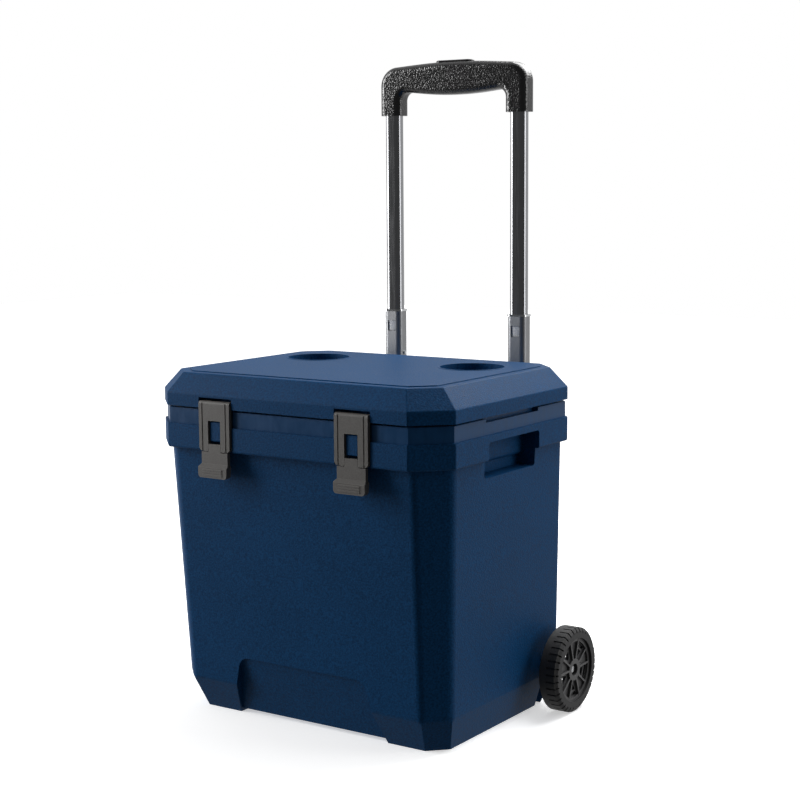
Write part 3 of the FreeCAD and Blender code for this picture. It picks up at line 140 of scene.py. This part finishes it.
def skin(name, colour, grain, depth, rough, fleck, sockets, stretch=(1, 1, 1)):
    """A surface with a grain of its own: bump, flecked colour and drifting roughness.

    grain is the size of one pebble or one scratch in metres, depth its height, rough the
    lowest and highest roughness, and fleck how far the colour strays from its mean.
    sockets are the shader's own values, and stretch squeezes the grain along each axis.
    """
    material = bpy.data.materials.new(name)
    material.use_nodes = True
    tree = material.node_tree
    tree.nodes.clear()
    place = add(tree, "ShaderNodeTexCoord").outputs["Object"]
    along = add(
        tree,
        "ShaderNodeMapping",
        sockets={"Scale": stretch},
        links={"Vector": place},
    ).outputs["Vector"]
    pebbles = add(
        tree,
        "ShaderNodeTexVoronoi",
        {"feature": "SMOOTH_F1"},
        {"Scale": 1 / grain, "Smoothness": 0.5},
        {"Vector": along},
    )
    flecks = add(
        tree,
        "ShaderNodeTexNoise",
        sockets={"Scale": 0.9 / grain, "Detail": 1.0, "Roughness": 0.5},
        links={"Vector": along},
    )
    drift = add(
        tree,
        "ShaderNodeTexNoise",
        sockets={"Scale": 8.0, "Detail": 3.0, "Roughness": 0.55},
        links={"Vector": place},
    )
    shades = add(
        tree,
        "ShaderNodeMix",
        {"data_type": "FLOAT"},
        {"Factor": 0.2},
        {"A": flecks.outputs["Fac"], "B": drift.outputs["Fac"]},
    ).outputs["Result"]
    tint = add(
        tree,
        "ShaderNodeMapRange",
        sockets={
            "From Min": 0.35,
            "From Max": 0.65,
            "To Min": 1 - fleck,
            "To Max": 1 + fleck,
        },
        links={"Value": shades},
    )
    base = add(
        tree,
        "ShaderNodeMix",
        {"data_type": "RGBA", "blend_type": "MULTIPLY"},
        {"Factor": 1.0, 6: colour},
        {7: tint.outputs["Result"]},
    ).outputs[2]
    dullness = add(
        tree,
        "ShaderNodeMapRange",
        sockets={"From Min": 0.3, "From Max": 0.7, "To Min": rough[0], "To Max": rough[1]},
        links={"Value": shades},
    )
    bump = add(
        tree,
        "ShaderNodeBump",
        sockets={"Strength": 0.6, "Distance": depth},
        links={"Height": pebbles.outputs["Distance"]},
    )
    shader = add(
        tree,
        "ShaderNodeBsdfPrincipled",
        sockets=sockets,
        links={
            "Base Color": base,
            "Roughness": dullness.outputs["Result"],
            "Normal": bump.outputs["Normal"],
        },
    )
    add(tree, "ShaderNodeOutputMaterial", links={"Surface": shader.outputs["BSDF"]})
    return Skin(material, tree, place, base, shader)


def paint_edge_highlight(made, edge_highlight, radius, share):
    """Paints a highlight on a surface: paler within a radius of its sharp edges."""
    rounded = add(made.tree, "ShaderNodeBevel", {"samples": 6}, {"Radius": radius})
    flat = add(made.tree, "ShaderNodeNewGeometry")
    same = add(
        made.tree,
        "ShaderNodeVectorMath",
        {"operation": "DOT_PRODUCT"},
        links={0: rounded.outputs["Normal"], 1: flat.outputs["Normal"]},
    )
    edge = add(
        made.tree,
        "ShaderNodeMapRange",
        sockets={"From Min": 1.0, "From Max": 0.8, "To Min": 0.0, "To Max": share},
        links={"Value": same.outputs["Value"]},
    )
    blend(made, edge.outputs["Result"], edge_highlight)


def blend(made, amount, colour):
    """Turns a surface's colour towards another by as much as a socket says."""
    mixed = add(
        made.tree,
        "ShaderNodeMix",
        {"data_type": "RGBA"},
        {7: colour},
        {0: amount, 6: made.base},
    )
    made.tree.links.new(mixed.outputs[2], made.shader.inputs["Base Color"])


def pebbled_polyethylene(colour, grain):
    """Polyethylene rotomoulded in an etched tool: pebbles that break each highlight up."""
    return skin(
        "pebbled_polyethylene",
        colour,
        grain=grain,
        depth=grain * 0.16,
        rough=(0.44, 0.6),
        fleck=0.26,
        sockets={"IOR": 1.5, "Specular IOR Level": 0.08},
    ).material


def smooth_polyethylene(colour):
    """Injection moulded polyethylene from a polished tool: satin, faintly streaked by flow."""
    return skin(
        "smooth_polyethylene",
        colour,
        grain=6 * MM,
        depth=0.06 * MM,
        rough=(0.3, 0.42),
        fleck=0.08,
        sockets={"IOR": 1.5, "Specular IOR Level": 0.2},
        stretch=(1, 1, 0.35),
    ).material


def white_polypropylene():
    """Thermoformed white polypropylene: a soft gloss over the sheet's faint orange peel."""
    return skin(
        "white_polypropylene",
        linear("#e6e8e8"),
        grain=4 * MM,
        depth=0.08 * MM,
        rough=(0.28, 0.4),
        fleck=0.02,
        sockets={"IOR": 1.49},
    ).material


def polyurethane_foam():
    """Rigid polyurethane foamed in place: cut cells of about 0.8 mm, dry and quite matt."""
    return skin(
        "polyurethane_foam",
        linear("#d9c68f"),
        grain=0.8 * MM,
        depth=0.4 * MM,
        rough=(0.85, 0.95),
        fleck=0.1,
        sockets={"IOR": 1.5},
    ).material


def extruded_seal_rubber():
    """Black extruded EPDM: nearly matt, with fine lines along the die's direction."""
    return skin(
        "extruded_seal_rubber",
        linear("#1d1d1e"),
        grain=0.8 * MM,
        depth=0.08 * MM,
        rough=(0.55, 0.7),
        fleck=0.08,
        sockets={"IOR": 1.52},
        stretch=(1, 1, 3),
    ).material


def zinc_plated_steel():
    """Turned steel, zinc plated: bright, with fine tool rings and a slightly uneven plate."""
    return skin(
        "zinc_plated_steel",
        linear("#c3c5c7"),
        grain=0.6 * MM,
        depth=0.03 * MM,
        rough=(0.18, 0.34),
        fleck=0.06,
        sockets={"Metallic": 1.0},
        stretch=(3, 1, 1),
    ).material


def blackened_spring_steel():
    """Stamped spring steel, blackened in oil: a dark metal with a soft, uneven shine."""
    return skin(
        "blackened_spring_steel",
        linear("#3a3a3c"),
        grain=1.2 * MM,
        depth=0.04 * MM,
        rough=(0.3, 0.45),
        fleck=0.1,
        sockets={"Metallic": 1.0},
    ).material


def textured_grey_abs(colour, edge_highlight):
    """Grey ABS with a spark-eroded grain of about 1 mm, and a painted highlight paler along its
    edges.
    """
    made = skin(
        "textured_grey_abs",
        colour,
        grain=1.1 * MM,
        depth=0.16 * MM,
        rough=(0.4, 0.56),
        fleck=0.12,
        sockets={"IOR": 1.53, "Specular IOR Level": 0.35},
    )
    # Painted highlight: the colour turns paler near the latch's sharp edges.
    paint_edge_highlight(made, edge_highlight, radius=1.1 * MM, share=0.6)
    return made.material


def glass_filled_nylon(colour, edge_highlight):
    """Black glass-filled nylon: dull, with a silky bloom of fibres and a painted highlight
    paler along its edges.
    """
    made = skin(
        "glass_filled_nylon",
        colour,
        grain=1.4 * MM,
        depth=0.12 * MM,
        rough=(0.38, 0.55),
        fleck=0.16,
        sockets={"IOR": 1.53, "Specular IOR Level": 0.4},
    )
    # Painted highlight: the colour turns paler near the wheel's sharp edges.
    paint_edge_highlight(made, edge_highlight, radius=1.2 * MM, share=0.5)
    return made.material


def moulded_tyre_rubber(colour, dust, axle, tread_radius):
    """Moulded thermoplastic rubber: matt black, its tread scuffed and dusted grey."""
    made = skin(
        "moulded_tyre_rubber",
        colour,
        grain=1.5 * MM,
        depth=0.2 * MM,
        rough=(0.55, 0.72),
        fleck=0.14,
        sockets={"IOR": 1.52, "Specular IOR Level": 0.35},
    )
    centred = add(
        made.tree,
        "ShaderNodeMapping",
        sockets={"Location": (0, -axle.y, -axle.z), "Scale": (0, 1, 1)},
        links={"Vector": made.place},
    )
    radius = add(
        made.tree,
        "ShaderNodeVectorMath",
        {"operation": "LENGTH"},
        links={0: centred.outputs["Vector"]},
    )
    on_tread = add(
        made.tree,
        "ShaderNodeMapRange",
        {"interpolation_type": "SMOOTHSTEP"},
        {"From Min": tread_radius - TREAD_FADE, "From Max": tread_radius, "To Max": 0.5},
        {"Value": radius.outputs["Value"]},
    )
    patches = add(
        made.tree,
        "ShaderNodeTexNoise",
        sockets={"Scale": 90.0, "Detail": 4.0, "Roughness": 0.65},
        links={"Vector": made.place},
    )
    amount = add(
        made.tree,
        "ShaderNodeMath",
        {"operation": "MULTIPLY"},
        links={0: on_tread.outputs["Result"], 1: patches.outputs["Fac"]},
    )
    blend(made, amount.outputs["Value"], dust)
    return made.material


def moulded_black_polypropylene():
    """Black injection moulded polypropylene: waxy, with a fine erosion grain."""
    return skin(
        "moulded_black_polypropylene",
        linear("#1a1a1b"),
        grain=1 * MM,
        depth=0.1 * MM,
        rough=(0.4, 0.55),
        fleck=0.12,
        sockets={"IOR": 1.49},
    ).material


def anodised_aluminium(colour):
    """Extruded, anodised aluminium: a clear dark shine drawn out in lines along the tube."""
    return skin(
        "anodised_aluminium",
        colour,
        grain=0.9 * MM,
        depth=0.02 * MM,
        rough=(0.1, 0.18),
        fleck=0.07,
        sockets={"Metallic": 1.0},
        stretch=(1, 1, 0.03),
    ).material


def satin_aluminium():
    """Extruded aluminium, bead blasted before it was anodised: an even, soft grey sheen."""
    return skin(
        "satin_aluminium",
        linear("#8c8d8f"),
        grain=0.7 * MM,
        depth=0.04 * MM,
        rough=(0.36, 0.46),
        fleck=0.06,
        sockets={"Metallic": 1.0},
    ).material


def polished_chrome():
    """Die-cast zinc, polished and chromed: a bright mirror with a faint cast ripple."""
    return skin(
        "polished_chrome",
        linear("#d6d8da"),
        grain=3 * MM,
        depth=0.03 * MM,
        rough=(0.08, 0.16),
        fleck=0.03,
        sockets={"Metallic": 1.0},
    ).material


def pebbled_grip_polymer(colour, grain):
    """Glossy black thermoplastic with a leather pebble, which sparkles under a light."""
    return skin(
        "pebbled_grip_polymer",
        colour,
        grain=grain,
        depth=grain * 0.26,
        rough=(0.16, 0.24),
        fleck=0.2,
        sockets={"IOR": 1.5, "Specular IOR Level": 0.8},
    ).material


def polished_button_abs():
    """Black ABS from a polished tool: an even gloss with the faint wave of a thick moulding."""
    return skin(
        "polished_button_abs",
        linear("#131314"),
        grain=5 * MM,
        depth=0.05 * MM,
        rough=(0.16, 0.24),
        fleck=0.05,
        sockets={"IOR": 1.53},
    ).material


def natural_acetal():
    """Natural grey acetal, moulded: slightly waxy, paler where the ribs catch the light."""
    made = skin(
        "natural_acetal",
        linear("#c4c5c7"),
        grain=0.8 * MM,
        depth=0.05 * MM,
        rough=(0.3, 0.42),
        fleck=0.06,
        sockets={"IOR": 1.48},
    )
    # Painted highlight: the colour turns paler near the ribs' sharp edges.
    paint_edge_highlight(made, linear("#ececec"), radius=0.4 * MM, share=0.6)
    return made.material


def studio_paper():
    """A seamless white sheet: matt, with a paper's fine tooth, and a painted glow that is
    dimmer near the cooler and even further out.
    """
    made = skin(
        "studio_paper",
        linear("#f6f6f6"),
        grain=1.5 * MM,
        depth=0.05 * MM,
        rough=(0.85, 0.95),
        fleck=0.01,
        sockets={"Specular IOR Level": 0.1, "Emission Color": (1, 1, 1, 1)},
    )
    away = add(
        made.tree,
        "ShaderNodeVectorMath",
        {"operation": "LENGTH"},
        links={0: made.place},
    )
    # Painted light: the floor glows less near the cooler and more further out.
    glow = add(
        made.tree,
        "ShaderNodeMapRange",
        {"interpolation_type": "SMOOTHSTEP"},
        {
            "From Min": GLOW_START,
            "From Max": GLOW_END,
            "To Min": GLOW_NEAR,
            "To Max": GLOW_FAR,
        },
        {"Value": away.outputs["Value"]},
    )
    made.tree.links.new(glow.outputs["Result"], made.shader.inputs["Emission Strength"])
    return made.material


def dress(material, *names):
    """Gives CAD nodes a finish through their material slots."""
    for name in names:
        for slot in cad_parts[name].material_slots:
            slot.material = material


def both(name):
    """The names of a left and a right node."""
    return [f"{name}_left", f"{name}_right"]


# --- modelling -------------------------------------------------------------------------


def start_piece(name):
    """Names the primitive just added, puts its place in its mesh and opens it to be shaped."""
    piece = bpy.context.object
    piece.name = name
    piece.data.name = name
    bpy.ops.object.transform_apply(location=True, rotation=True, scale=True)
    bpy.ops.object.mode_set(mode="EDIT")
    return piece


def pick(piece, kind, wanted):
    """Selects only the faces or edges of a piece in edit mode that a test wants."""
    bpy.ops.mesh.select_all(action="DESELECT")
    bpy.ops.mesh.select_mode(type="FACE" if kind == "faces" else "EDGE")
    mesh = bmesh.from_edit_mesh(piece.data)
    for part in getattr(mesh, kind):
        if wanted(part):
            part.select_set(True)
    bmesh.update_edit_mesh(piece.data)


def end_piece(piece, material, body, bevel):
    """Rounds a piece's sharp edges, smooths it, and gives it its finish, body and slot."""
    bpy.ops.object.mode_set(mode="OBJECT")
    rounding = piece.modifiers.new("rounding", "BEVEL")
    rounding.width = bevel
    rounding.segments = BEVEL_SEGMENTS
    rounding.limit_method = "ANGLE"
    rounding.angle_limit = math.radians(SHARP_ANGLE)
    bpy.ops.object.modifier_apply(modifier=rounding.name)
    bpy.ops.object.shade_smooth_by_angle(angle=math.radians(SMOOTH_ANGLE))
    piece.data.materials.clear()
    piece.data.materials.append(material)
    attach(piece, body)


# --- what a user may change ------------------------------------------------------------


def colour_property(name, description, code):
    """A colour that the panel shows, which starts from an sRGB hex colour."""
    return bpy.props.FloatVectorProperty(
        name=name,
        description=description,
        size=4,
        min=0,
        max=1,
        subtype="COLOR",
        default=linear(code),
    )


def length_property(name, description, millimetres):
    """A length that the panel shows, which starts from a number of millimetres."""
    return bpy.props.FloatProperty(
        name=name,
        description=description,
        default=millimetres * MM,
        min=0,
        precision=5,
        subtype="DISTANCE",
        unit="LENGTH",
    )


class CoolerColours(bpy.types.PropertyGroup):
    """The colours of the cooler's moulded and metal pieces."""

    navy: colour_property("Navy", "Body, lid, frame and handle housing", "#0c3d67")
    latch_grey: colour_property("Latch grey", "Latch links and levers", "#62605e")
    # Colour of the painted highlight along the latches' sharp edges.
    latch_edge_highlight: colour_property("Latch edge", "Where hands rub the latches", "#8e8b88")
    wheel_black: colour_property("Wheel black", "Wheel centres", "#4a4a4b")
    # Colour of the painted highlight along the wheel ribs' sharp edges.
    wheel_edge_highlight: colour_property("Wheel edge", "Worn edges of the wheel's ribs", "#8a8a8c")
    tyre_black: colour_property("Tyre black", "Tyres", "#333334")
    tread_dust: colour_property("Tread dust", "Dust on the tread", "#565553")
    tube_metal: colour_property("Tube metal", "Handle tubes", "#a0a1a4")
    grip_black: colour_property("Grip black", "Grip", "#161617")


class CoolerSizes(bpy.types.PropertyGroup):
    """The sizes of the cooler's grains and trim."""

    shell_grain: length_property("Shell grain", "Shell's pebble, at twice real size", 1.9)
    grip_grain: length_property("Grip grain", "Grip's pebble, at twice real size", 2.2)
    rib_rise: length_property("Pad rib rise", "How far a lock pad's ribs stand out", 0.22)
    pad_margin: length_property("Pad margin", "Gap round a lock pad in its window", 0.25)
    pad_clearance: length_property("Pad clearance", "Gap from a pad's ribs to the tube", 0.12)
    pad_thickness: length_property("Pad thickness", "Thickness of a lock pad's plate", 0.5)
    recess_width: length_property("Drive width", "Width of a screw's cross recess", 1.3)
    recess_length: length_property("Drive length", "Span of a screw's cross recess", 5.8)
    head_rounding: length_property("Head rounding", "Rounding of a screw head's rim", 1.4)
    recess_depth: length_property("Drive depth", "Depth of a screw's cross recess", 1.4)
    floor_size: length_property("Floor size", "Side of the floor sheet", 12000)
    pad_ribs: bpy.props.IntProperty(
        name="Pad ribs", description="Ribs across a lock pad", default=5, min=1, max=9
    )


# --- the pieces ------------------------------------------------------------------------


class COOLER_OT_box(bpy.types.Operator):
    """Finish the shell, the smooth frame, the tub, the foam and the handle housing"""

    bl_idname = "cooler.box"
    bl_label = "Box"

    def execute(self, context):
        navy = context.scene.cooler_colours.navy
        pebbled = pebbled_polyethylene(navy, context.scene.cooler_sizes.shell_grain)
        dress(pebbled, "body_shell", "handle_housing", "lid_shell")
        dress(smooth_polyethylene(navy), "top_frame", *both("hinge_bracket"))
        dress(white_polypropylene(), "body_liner", "lid_liner")
        dress(polyurethane_foam(), "body_foam", "lid_foam")
        dress(extruded_seal_rubber(), "lid_gasket")
        return {"FINISHED"}


class COOLER_OT_metalwork(bpy.types.Operator):
    """Finish the pins, screws, axle and springs"""

    bl_idname = "cooler.metalwork"
    bl_label = "Metalwork"

    def execute(self, context):
        pins = [*both("hinge_pin"), *both("latch_pin"), *both("lever_pin"), *both("pull_rod")]
        small = ["hinge_screws", "tube_rivets", "axle", "wheel_washers", "button_spring"]
        dress(zinc_plated_steel(), *pins, *small)
        dress(blackened_spring_steel(), "push_nuts")
        return {"FINISHED"}


class COOLER_OT_latches(bpy.types.Operator):
    """Finish the two latches"""

    bl_idname = "cooler.latches"
    bl_label = "Latches"

    def execute(self, context):
        colours = context.scene.cooler_colours
        grey = textured_grey_abs(colours.latch_grey, colours.latch_edge_highlight)
        dress(grey, *both("latch_link"), *both("latch_lever"))
        return {"FINISHED"}


class COOLER_OT_wheels(bpy.types.Operator):
    """Finish the wheels, their tyres and what holds the axle"""

    bl_idname = "cooler.wheels"
    bl_label = "Wheels"

    def execute(self, context):
        colours = context.scene.cooler_colours
        dress(glass_filled_nylon(colours.wheel_black, colours.wheel_edge_highlight), *both("wheel_rim"))
        low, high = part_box("tyre_right")
        rubber = moulded_tyre_rubber(
            colours.tyre_black,
            colours.tread_dust,
            (low + high) / 2,
            (high.z - low.z) / 2,
        )
        dress(rubber, *both("tyre"))
        black = moulded_black_polypropylene()
        dress(black, "axle_spacers", *both("axle_clamp"), *both("tube_glide"))
        return {"FINISHED"}


class COOLER_OT_handle(bpy.types.Operator):
    """Finish the handle's tubes, collars, grip and button"""

    bl_idname = "cooler.handle"
    bl_label = "Handle"

    def execute(self, context):
        colours = context.scene.cooler_colours
        dress(anodised_aluminium(colours.tube_metal), *both("inner_tube"))
        dress(satin_aluminium(), *both("outer_tube"))
        dress(polished_chrome(), *both("tube_collar"))
        grain = context.scene.cooler_sizes.grip_grain
        dress(pebbled_grip_polymer(colours.grip_black, grain), "grip_bottom", "grip_top")
        dress(polished_button_abs(), "release_button")
        return {"FINISHED"}


class COOLER_OT_lock_pads(bpy.types.Operator):
    """Model the ribbed pads that show in the outer tubes' windows"""

    bl_idname = "cooler.lock_pads"
    bl_label = "Lock pads"

    def execute(self, context):
        sizes = context.scene.cooler_sizes
        acetal = natural_acetal()
        for side in ("left", "right"):
            self.model_pad(side, sizes, acetal)
        return {"FINISHED"}

    def model_pad(self, side, sizes, material):
        """A pad on the lock pin's face, its ribs raised by bisecting it and extruding bands."""
        low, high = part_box(f"outer_tube_{side}")
        front = low.y + TUBE_WALL + sizes.pad_clearance + sizes.rib_rise
        middle = (low.x + high.x) / 2
        half = WINDOW_HALF - sizes.pad_margin
        bottom = WINDOW_LOW + sizes.pad_margin
        top = WINDOW_HIGH - sizes.pad_margin
        back = front + sizes.pad_thickness
        bpy.ops.object.select_all(action="DESELECT")
        bpy.ops.mesh.primitive_cube_add(
            size=1,
            location=(middle, (front + back) / 2, (bottom + top) / 2),
            scale=(half * 2, back - front, top - bottom),
        )
        piece = start_piece(f"lock_pad_{side}")
        bands = sizes.pad_ribs * 2 + 1
        step = (top - bottom) / bands
        for cut in range(1, bands):
            bpy.ops.mesh.select_all(action="SELECT")
            level = bottom + step * cut
            bpy.ops.mesh.bisect(plane_co=(middle, front, level), plane_no=(0, 0, 1))

        def is_rib(face):
            """Whether a face is on the front of every second band."""
            band = int((face.calc_center_median().z - bottom) / step)
            return face.normal.y < -SQUARELY and band % 2 == 1

        pick(piece, "faces", is_rib)
        bpy.ops.mesh.extrude_region_move(
            TRANSFORM_OT_translate={"value": (0, -sizes.rib_rise, 0)}
        )
        end_piece(piece, material, "handle", PAD_BEVEL)


class COOLER_OT_housing_screws(bpy.types.Operator):
    """Model the pan-head screws that hold the handle housing"""

    bl_idname = "cooler.housing_screws"
    bl_label = "Housing screws"

    def execute(self, context):
        sizes = context.scene.cooler_sizes
        low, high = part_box("housing_screws")
        steel = bpy.data.materials["zinc_plated_steel"]
        spots = [
            (x, z)
            for x in (low.x + HEAD_RADIUS, high.x - HEAD_RADIUS)
            for z in (low.z + HEAD_RADIUS, high.z - HEAD_RADIUS)
        ]
        for number, (x, z) in enumerate(spots, start=1):
            piece = self.model_screw(f"housing_screw_{number}", x, z, low.y, high.y, sizes)
            self.cut_cross(piece, x, z, high.y, sizes)
            bpy.ops.object.mode_set(mode="EDIT")
            end_piece(piece, steel, "cooler_body", SCREW_BEVEL)
            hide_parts("housing_screws")
        return {"FINISHED"}

    def model_screw(self, name, x, z, start, end, sizes):
        """A shank whose end is widened and drawn out into a head with a rounded rim."""
        seat = end - HEAD_RISE
        bpy.ops.object.select_all(action="DESELECT")
        bpy.ops.mesh.primitive_cylinder_add(
            vertices=CIRCLE_SIDES,
            radius=SHANK_RADIUS,
            depth=seat - start,
            location=(x, (start + seat) / 2, z),
            rotation=(math.pi / 2, 0, 0),
        )
        piece = start_piece(name)
        pick(piece, "faces", lambda face: face.normal.y > SQUARELY)
        bpy.ops.mesh.extrude_region_move(TRANSFORM_OT_translate={"value": (0, 0, 0)})
        share = HEAD_RADIUS / SHANK_RADIUS
        bpy.ops.transform.resize(value=(share, 1, share), center_override=(x, seat, z))
        bpy.ops.mesh.extrude_region_move(TRANSFORM_OT_translate={"value": (0, HEAD_RISE, 0)})

        def is_rim(edge):
            """Whether both ends of an edge are on the head's outer circle."""
            ends = [corner.co for corner in edge.verts]
            return all(
                abs(co.y - end) < LEEWAY
                and abs(math.hypot(co.x - x, co.z - z) - HEAD_RADIUS) < LEEWAY
                for co in ends
            )

        pick(piece, "edges", is_rim)
        bpy.ops.mesh.bevel(offset=sizes.head_rounding, segments=RIM_SEGMENTS, profile=0.5)
        bpy.ops.object.mode_set(mode="OBJECT")
        return piece

    def cut_cross(self, piece, x, z, end, sizes):
        """Cuts two crossed slots into the head, each narrower towards its floor."""
        arm = sizes.recess_length / 2
        slot = sizes.recess_width / 2
        for wide, tall in ((arm, slot), (slot, arm)):
            bpy.ops.object.select_all(action="DESELECT")
            bpy.ops.mesh.primitive_cube_add(
                size=2,
                location=(x, end, z),
                scale=(wide, sizes.recess_depth, tall),
            )
            cutter = start_piece("slot_cutter")
            pick(cutter, "faces", lambda face: face.normal.y < -SQUARELY)
            bpy.ops.transform.resize(
                value=(RECESS_TAPER, 1, RECESS_TAPER), center_override=(x, end, z)
            )
            bpy.ops.object.mode_set(mode="OBJECT")
            cut = piece.modifiers.new("cross", "BOOLEAN")
            cut.operation = "DIFFERENCE"
            cut.solver = "EXACT"
            cut.object = cutter
            bpy.ops.object.select_all(action="DESELECT")
            piece.select_set(True)
            bpy.context.view_layer.objects.active = piece
            bpy.ops.object.modifier_apply(modifier=cut.name)
            bpy.data.objects.remove(cutter)


class COOLER_OT_stage(bpy.types.Operator):
    """Lay the floor, hang the softboxes and set up the camera"""

    bl_idname = "cooler.stage"
    bl_label = "Stage"

    def execute(self, context):
        bpy.ops.object.select_all(action="DESELECT")
        bpy.ops.mesh.primitive_plane_add(size=context.scene.cooler_sizes.floor_size)
        floor = context.object
        floor.name = "floor"
        floor.data.materials.append(studio_paper())
        floor.visible_diffuse = False
        floor.visible_glossy = False
        self.light_room(context.scene)
        for name, rig in SOFTBOXES.items():
            hang_softbox(name, *rig)
        context.scene.view_settings.view_transform = "Standard"
        self.place_camera(context.scene)
        return {"FINISHED"}

    def light_room(self, scene):
        """White walls on both sides and behind, and a dark screen in front of the cooler."""
        world = bpy.data.worlds.new("studio")
        scene.world = world
        world.use_nodes = True
        tree = world.node_tree
        tree.nodes.clear()
        yaw = math.radians(CAMERA_YAW)
        way = add(tree, "ShaderNodeTexCoord")
        level_way = add(
            tree,
            "ShaderNodeVectorMath",
            {"operation": "MULTIPLY"},
            {1: (1, 1, HEIGHT_SHARE)},
            {0: way.outputs["Generated"]},
        )
        unit = add(
            tree,
            "ShaderNodeVectorMath",
            {"operation": "NORMALIZE"},
            links={0: level_way.outputs["Vector"]},
        )
        facing = add(
            tree,
            "ShaderNodeVectorMath",
            {"operation": "DOT_PRODUCT"},
            {1: (math.sin(yaw), -math.cos(yaw), 0)},
            {0: unit.outputs["Vector"]},
        )
        level = add(
            tree,
            "ShaderNodeMapRange",
            {"interpolation_type": "SMOOTHSTEP"},
            {
                "From Min": WALL_EDGE,
                "From Max": SCREEN_EDGE,
                "To Min": WALL_LIGHT,
                "To Max": SCREEN_LIGHT,
            },
            {"Value": facing.outputs["Value"]},
        )
        light = add(
            tree,
            "ShaderNodeBackground",
            sockets={"Color": (1, 1, 1, 1)},
            links={"Strength": level.outputs["Result"]},
        )
        seen = add(
            tree,
            "ShaderNodeBackground",
            sockets={"Color": (1, 1, 1, 1), "Strength": 1},
        )
        path = add(tree, "ShaderNodeLightPath")
        mixed = add(
            tree,
            "ShaderNodeMixShader",
            links={
                0: path.outputs["Is Camera Ray"],
                1: light.outputs["Background"],
                2: seen.outputs["Background"],
            },
        )
        add(tree, "ShaderNodeOutputWorld", links={"Surface": mixed.outputs["Shader"]})

    def place_camera(self, scene):
        """A camera turned by its yaw, then tipped down by its pitch, then rolled."""
        yaw = math.radians(CAMERA_YAW)
        pitch = math.radians(CAMERA_PITCH)
        roll = math.radians(CAMERA_ROLL)
        reach = math.cos(pitch)
        forward = Vector((-math.sin(yaw) * reach, math.cos(yaw) * reach, -math.sin(pitch)))
        right = Vector((math.cos(yaw), math.sin(yaw), 0))
        up = right.cross(forward)
        rolled_right = right * math.cos(roll) + up * math.sin(roll)
        rolled_up = up * math.cos(roll) - right * math.sin(roll)
        lens = bpy.data.cameras.new("camera")
        lens.sensor_width = SENSOR_WIDTH
        lens.lens = FOCAL_LENGTH
        camera = bpy.data.objects.new("camera", lens)
        scene.collection.objects.link(camera)
        turn = Matrix((rolled_right, rolled_up, -forward)).transposed().to_4x4()
        camera.matrix_world = Matrix.Translation(CAMERA_PLACE) @ turn
        scene.camera = camera


def hang_softbox(name, azimuth, distance, height, size, power):
    """A softbox that looks at the cooler from an angle, counted from the front to the right."""
    light = bpy.data.lights.new(name, "AREA")
    light.shape = "RECTANGLE"
    light.size, light.size_y = size
    light.energy = power
    lamp = bpy.data.objects.new(name, light)
    angle = math.radians(azimuth)
    lamp.location = (math.sin(angle) * distance, -math.cos(angle) * distance, height)
    aim = SOFTBOX_AIM - lamp.location
    lamp.rotation_euler = aim.to_track_quat("-Z", "Y").to_euler()
    lamp.visible_camera = False
    bpy.context.scene.collection.objects.link(lamp)


class COOLER_PT_panel(bpy.types.Panel):
    """List the cooler's pieces, colours and sizes"""

    bl_idname = "COOLER_PT_panel"
    bl_label = "Wheeled cooler"
    bl_space_type = "VIEW_3D"
    bl_region_type = "UI"
    bl_category = "Cooler"

    def draw(self, context):
        for made in OPERATORS:
            self.layout.operator(made.bl_idname)
        for group in (context.scene.cooler_colours, context.scene.cooler_sizes):
            for name in group.__annotations__:
                self.layout.prop(group, name)


OPERATORS = [
    COOLER_OT_box,
    COOLER_OT_metalwork,
    COOLER_OT_latches,
    COOLER_OT_wheels,
    COOLER_OT_handle,
    COOLER_OT_lock_pads,
    COOLER_OT_housing_screws,
    COOLER_OT_stage,
]
CLASSES = [CoolerColours, CoolerSizes, *OPERATORS, COOLER_PT_panel]


def register():
    for made in CLASSES:
        bpy.utils.register_class(made)
    bpy.types.Scene.cooler_colours = bpy.props.PointerProperty(type=CoolerColours)
    bpy.types.Scene.cooler_sizes = bpy.props.PointerProperty(type=CoolerSizes)


def unregister():
    del bpy.types.Scene.cooler_sizes
    del bpy.types.Scene.cooler_colours
    for made in reversed(CLASSES):
        bpy.utils.unregister_class(made)


def main():
    register()
    bpy.ops.cooler.box()
    bpy.ops.cooler.metalwork()
    bpy.ops.cooler.latches()
    bpy.ops.cooler.wheels()
    bpy.ops.cooler.handle()
    bpy.ops.cooler.lock_pads()
    bpy.ops.cooler.housing_screws()
    bpy.ops.cooler.stage()


if __name__ == "__main__":
    main()
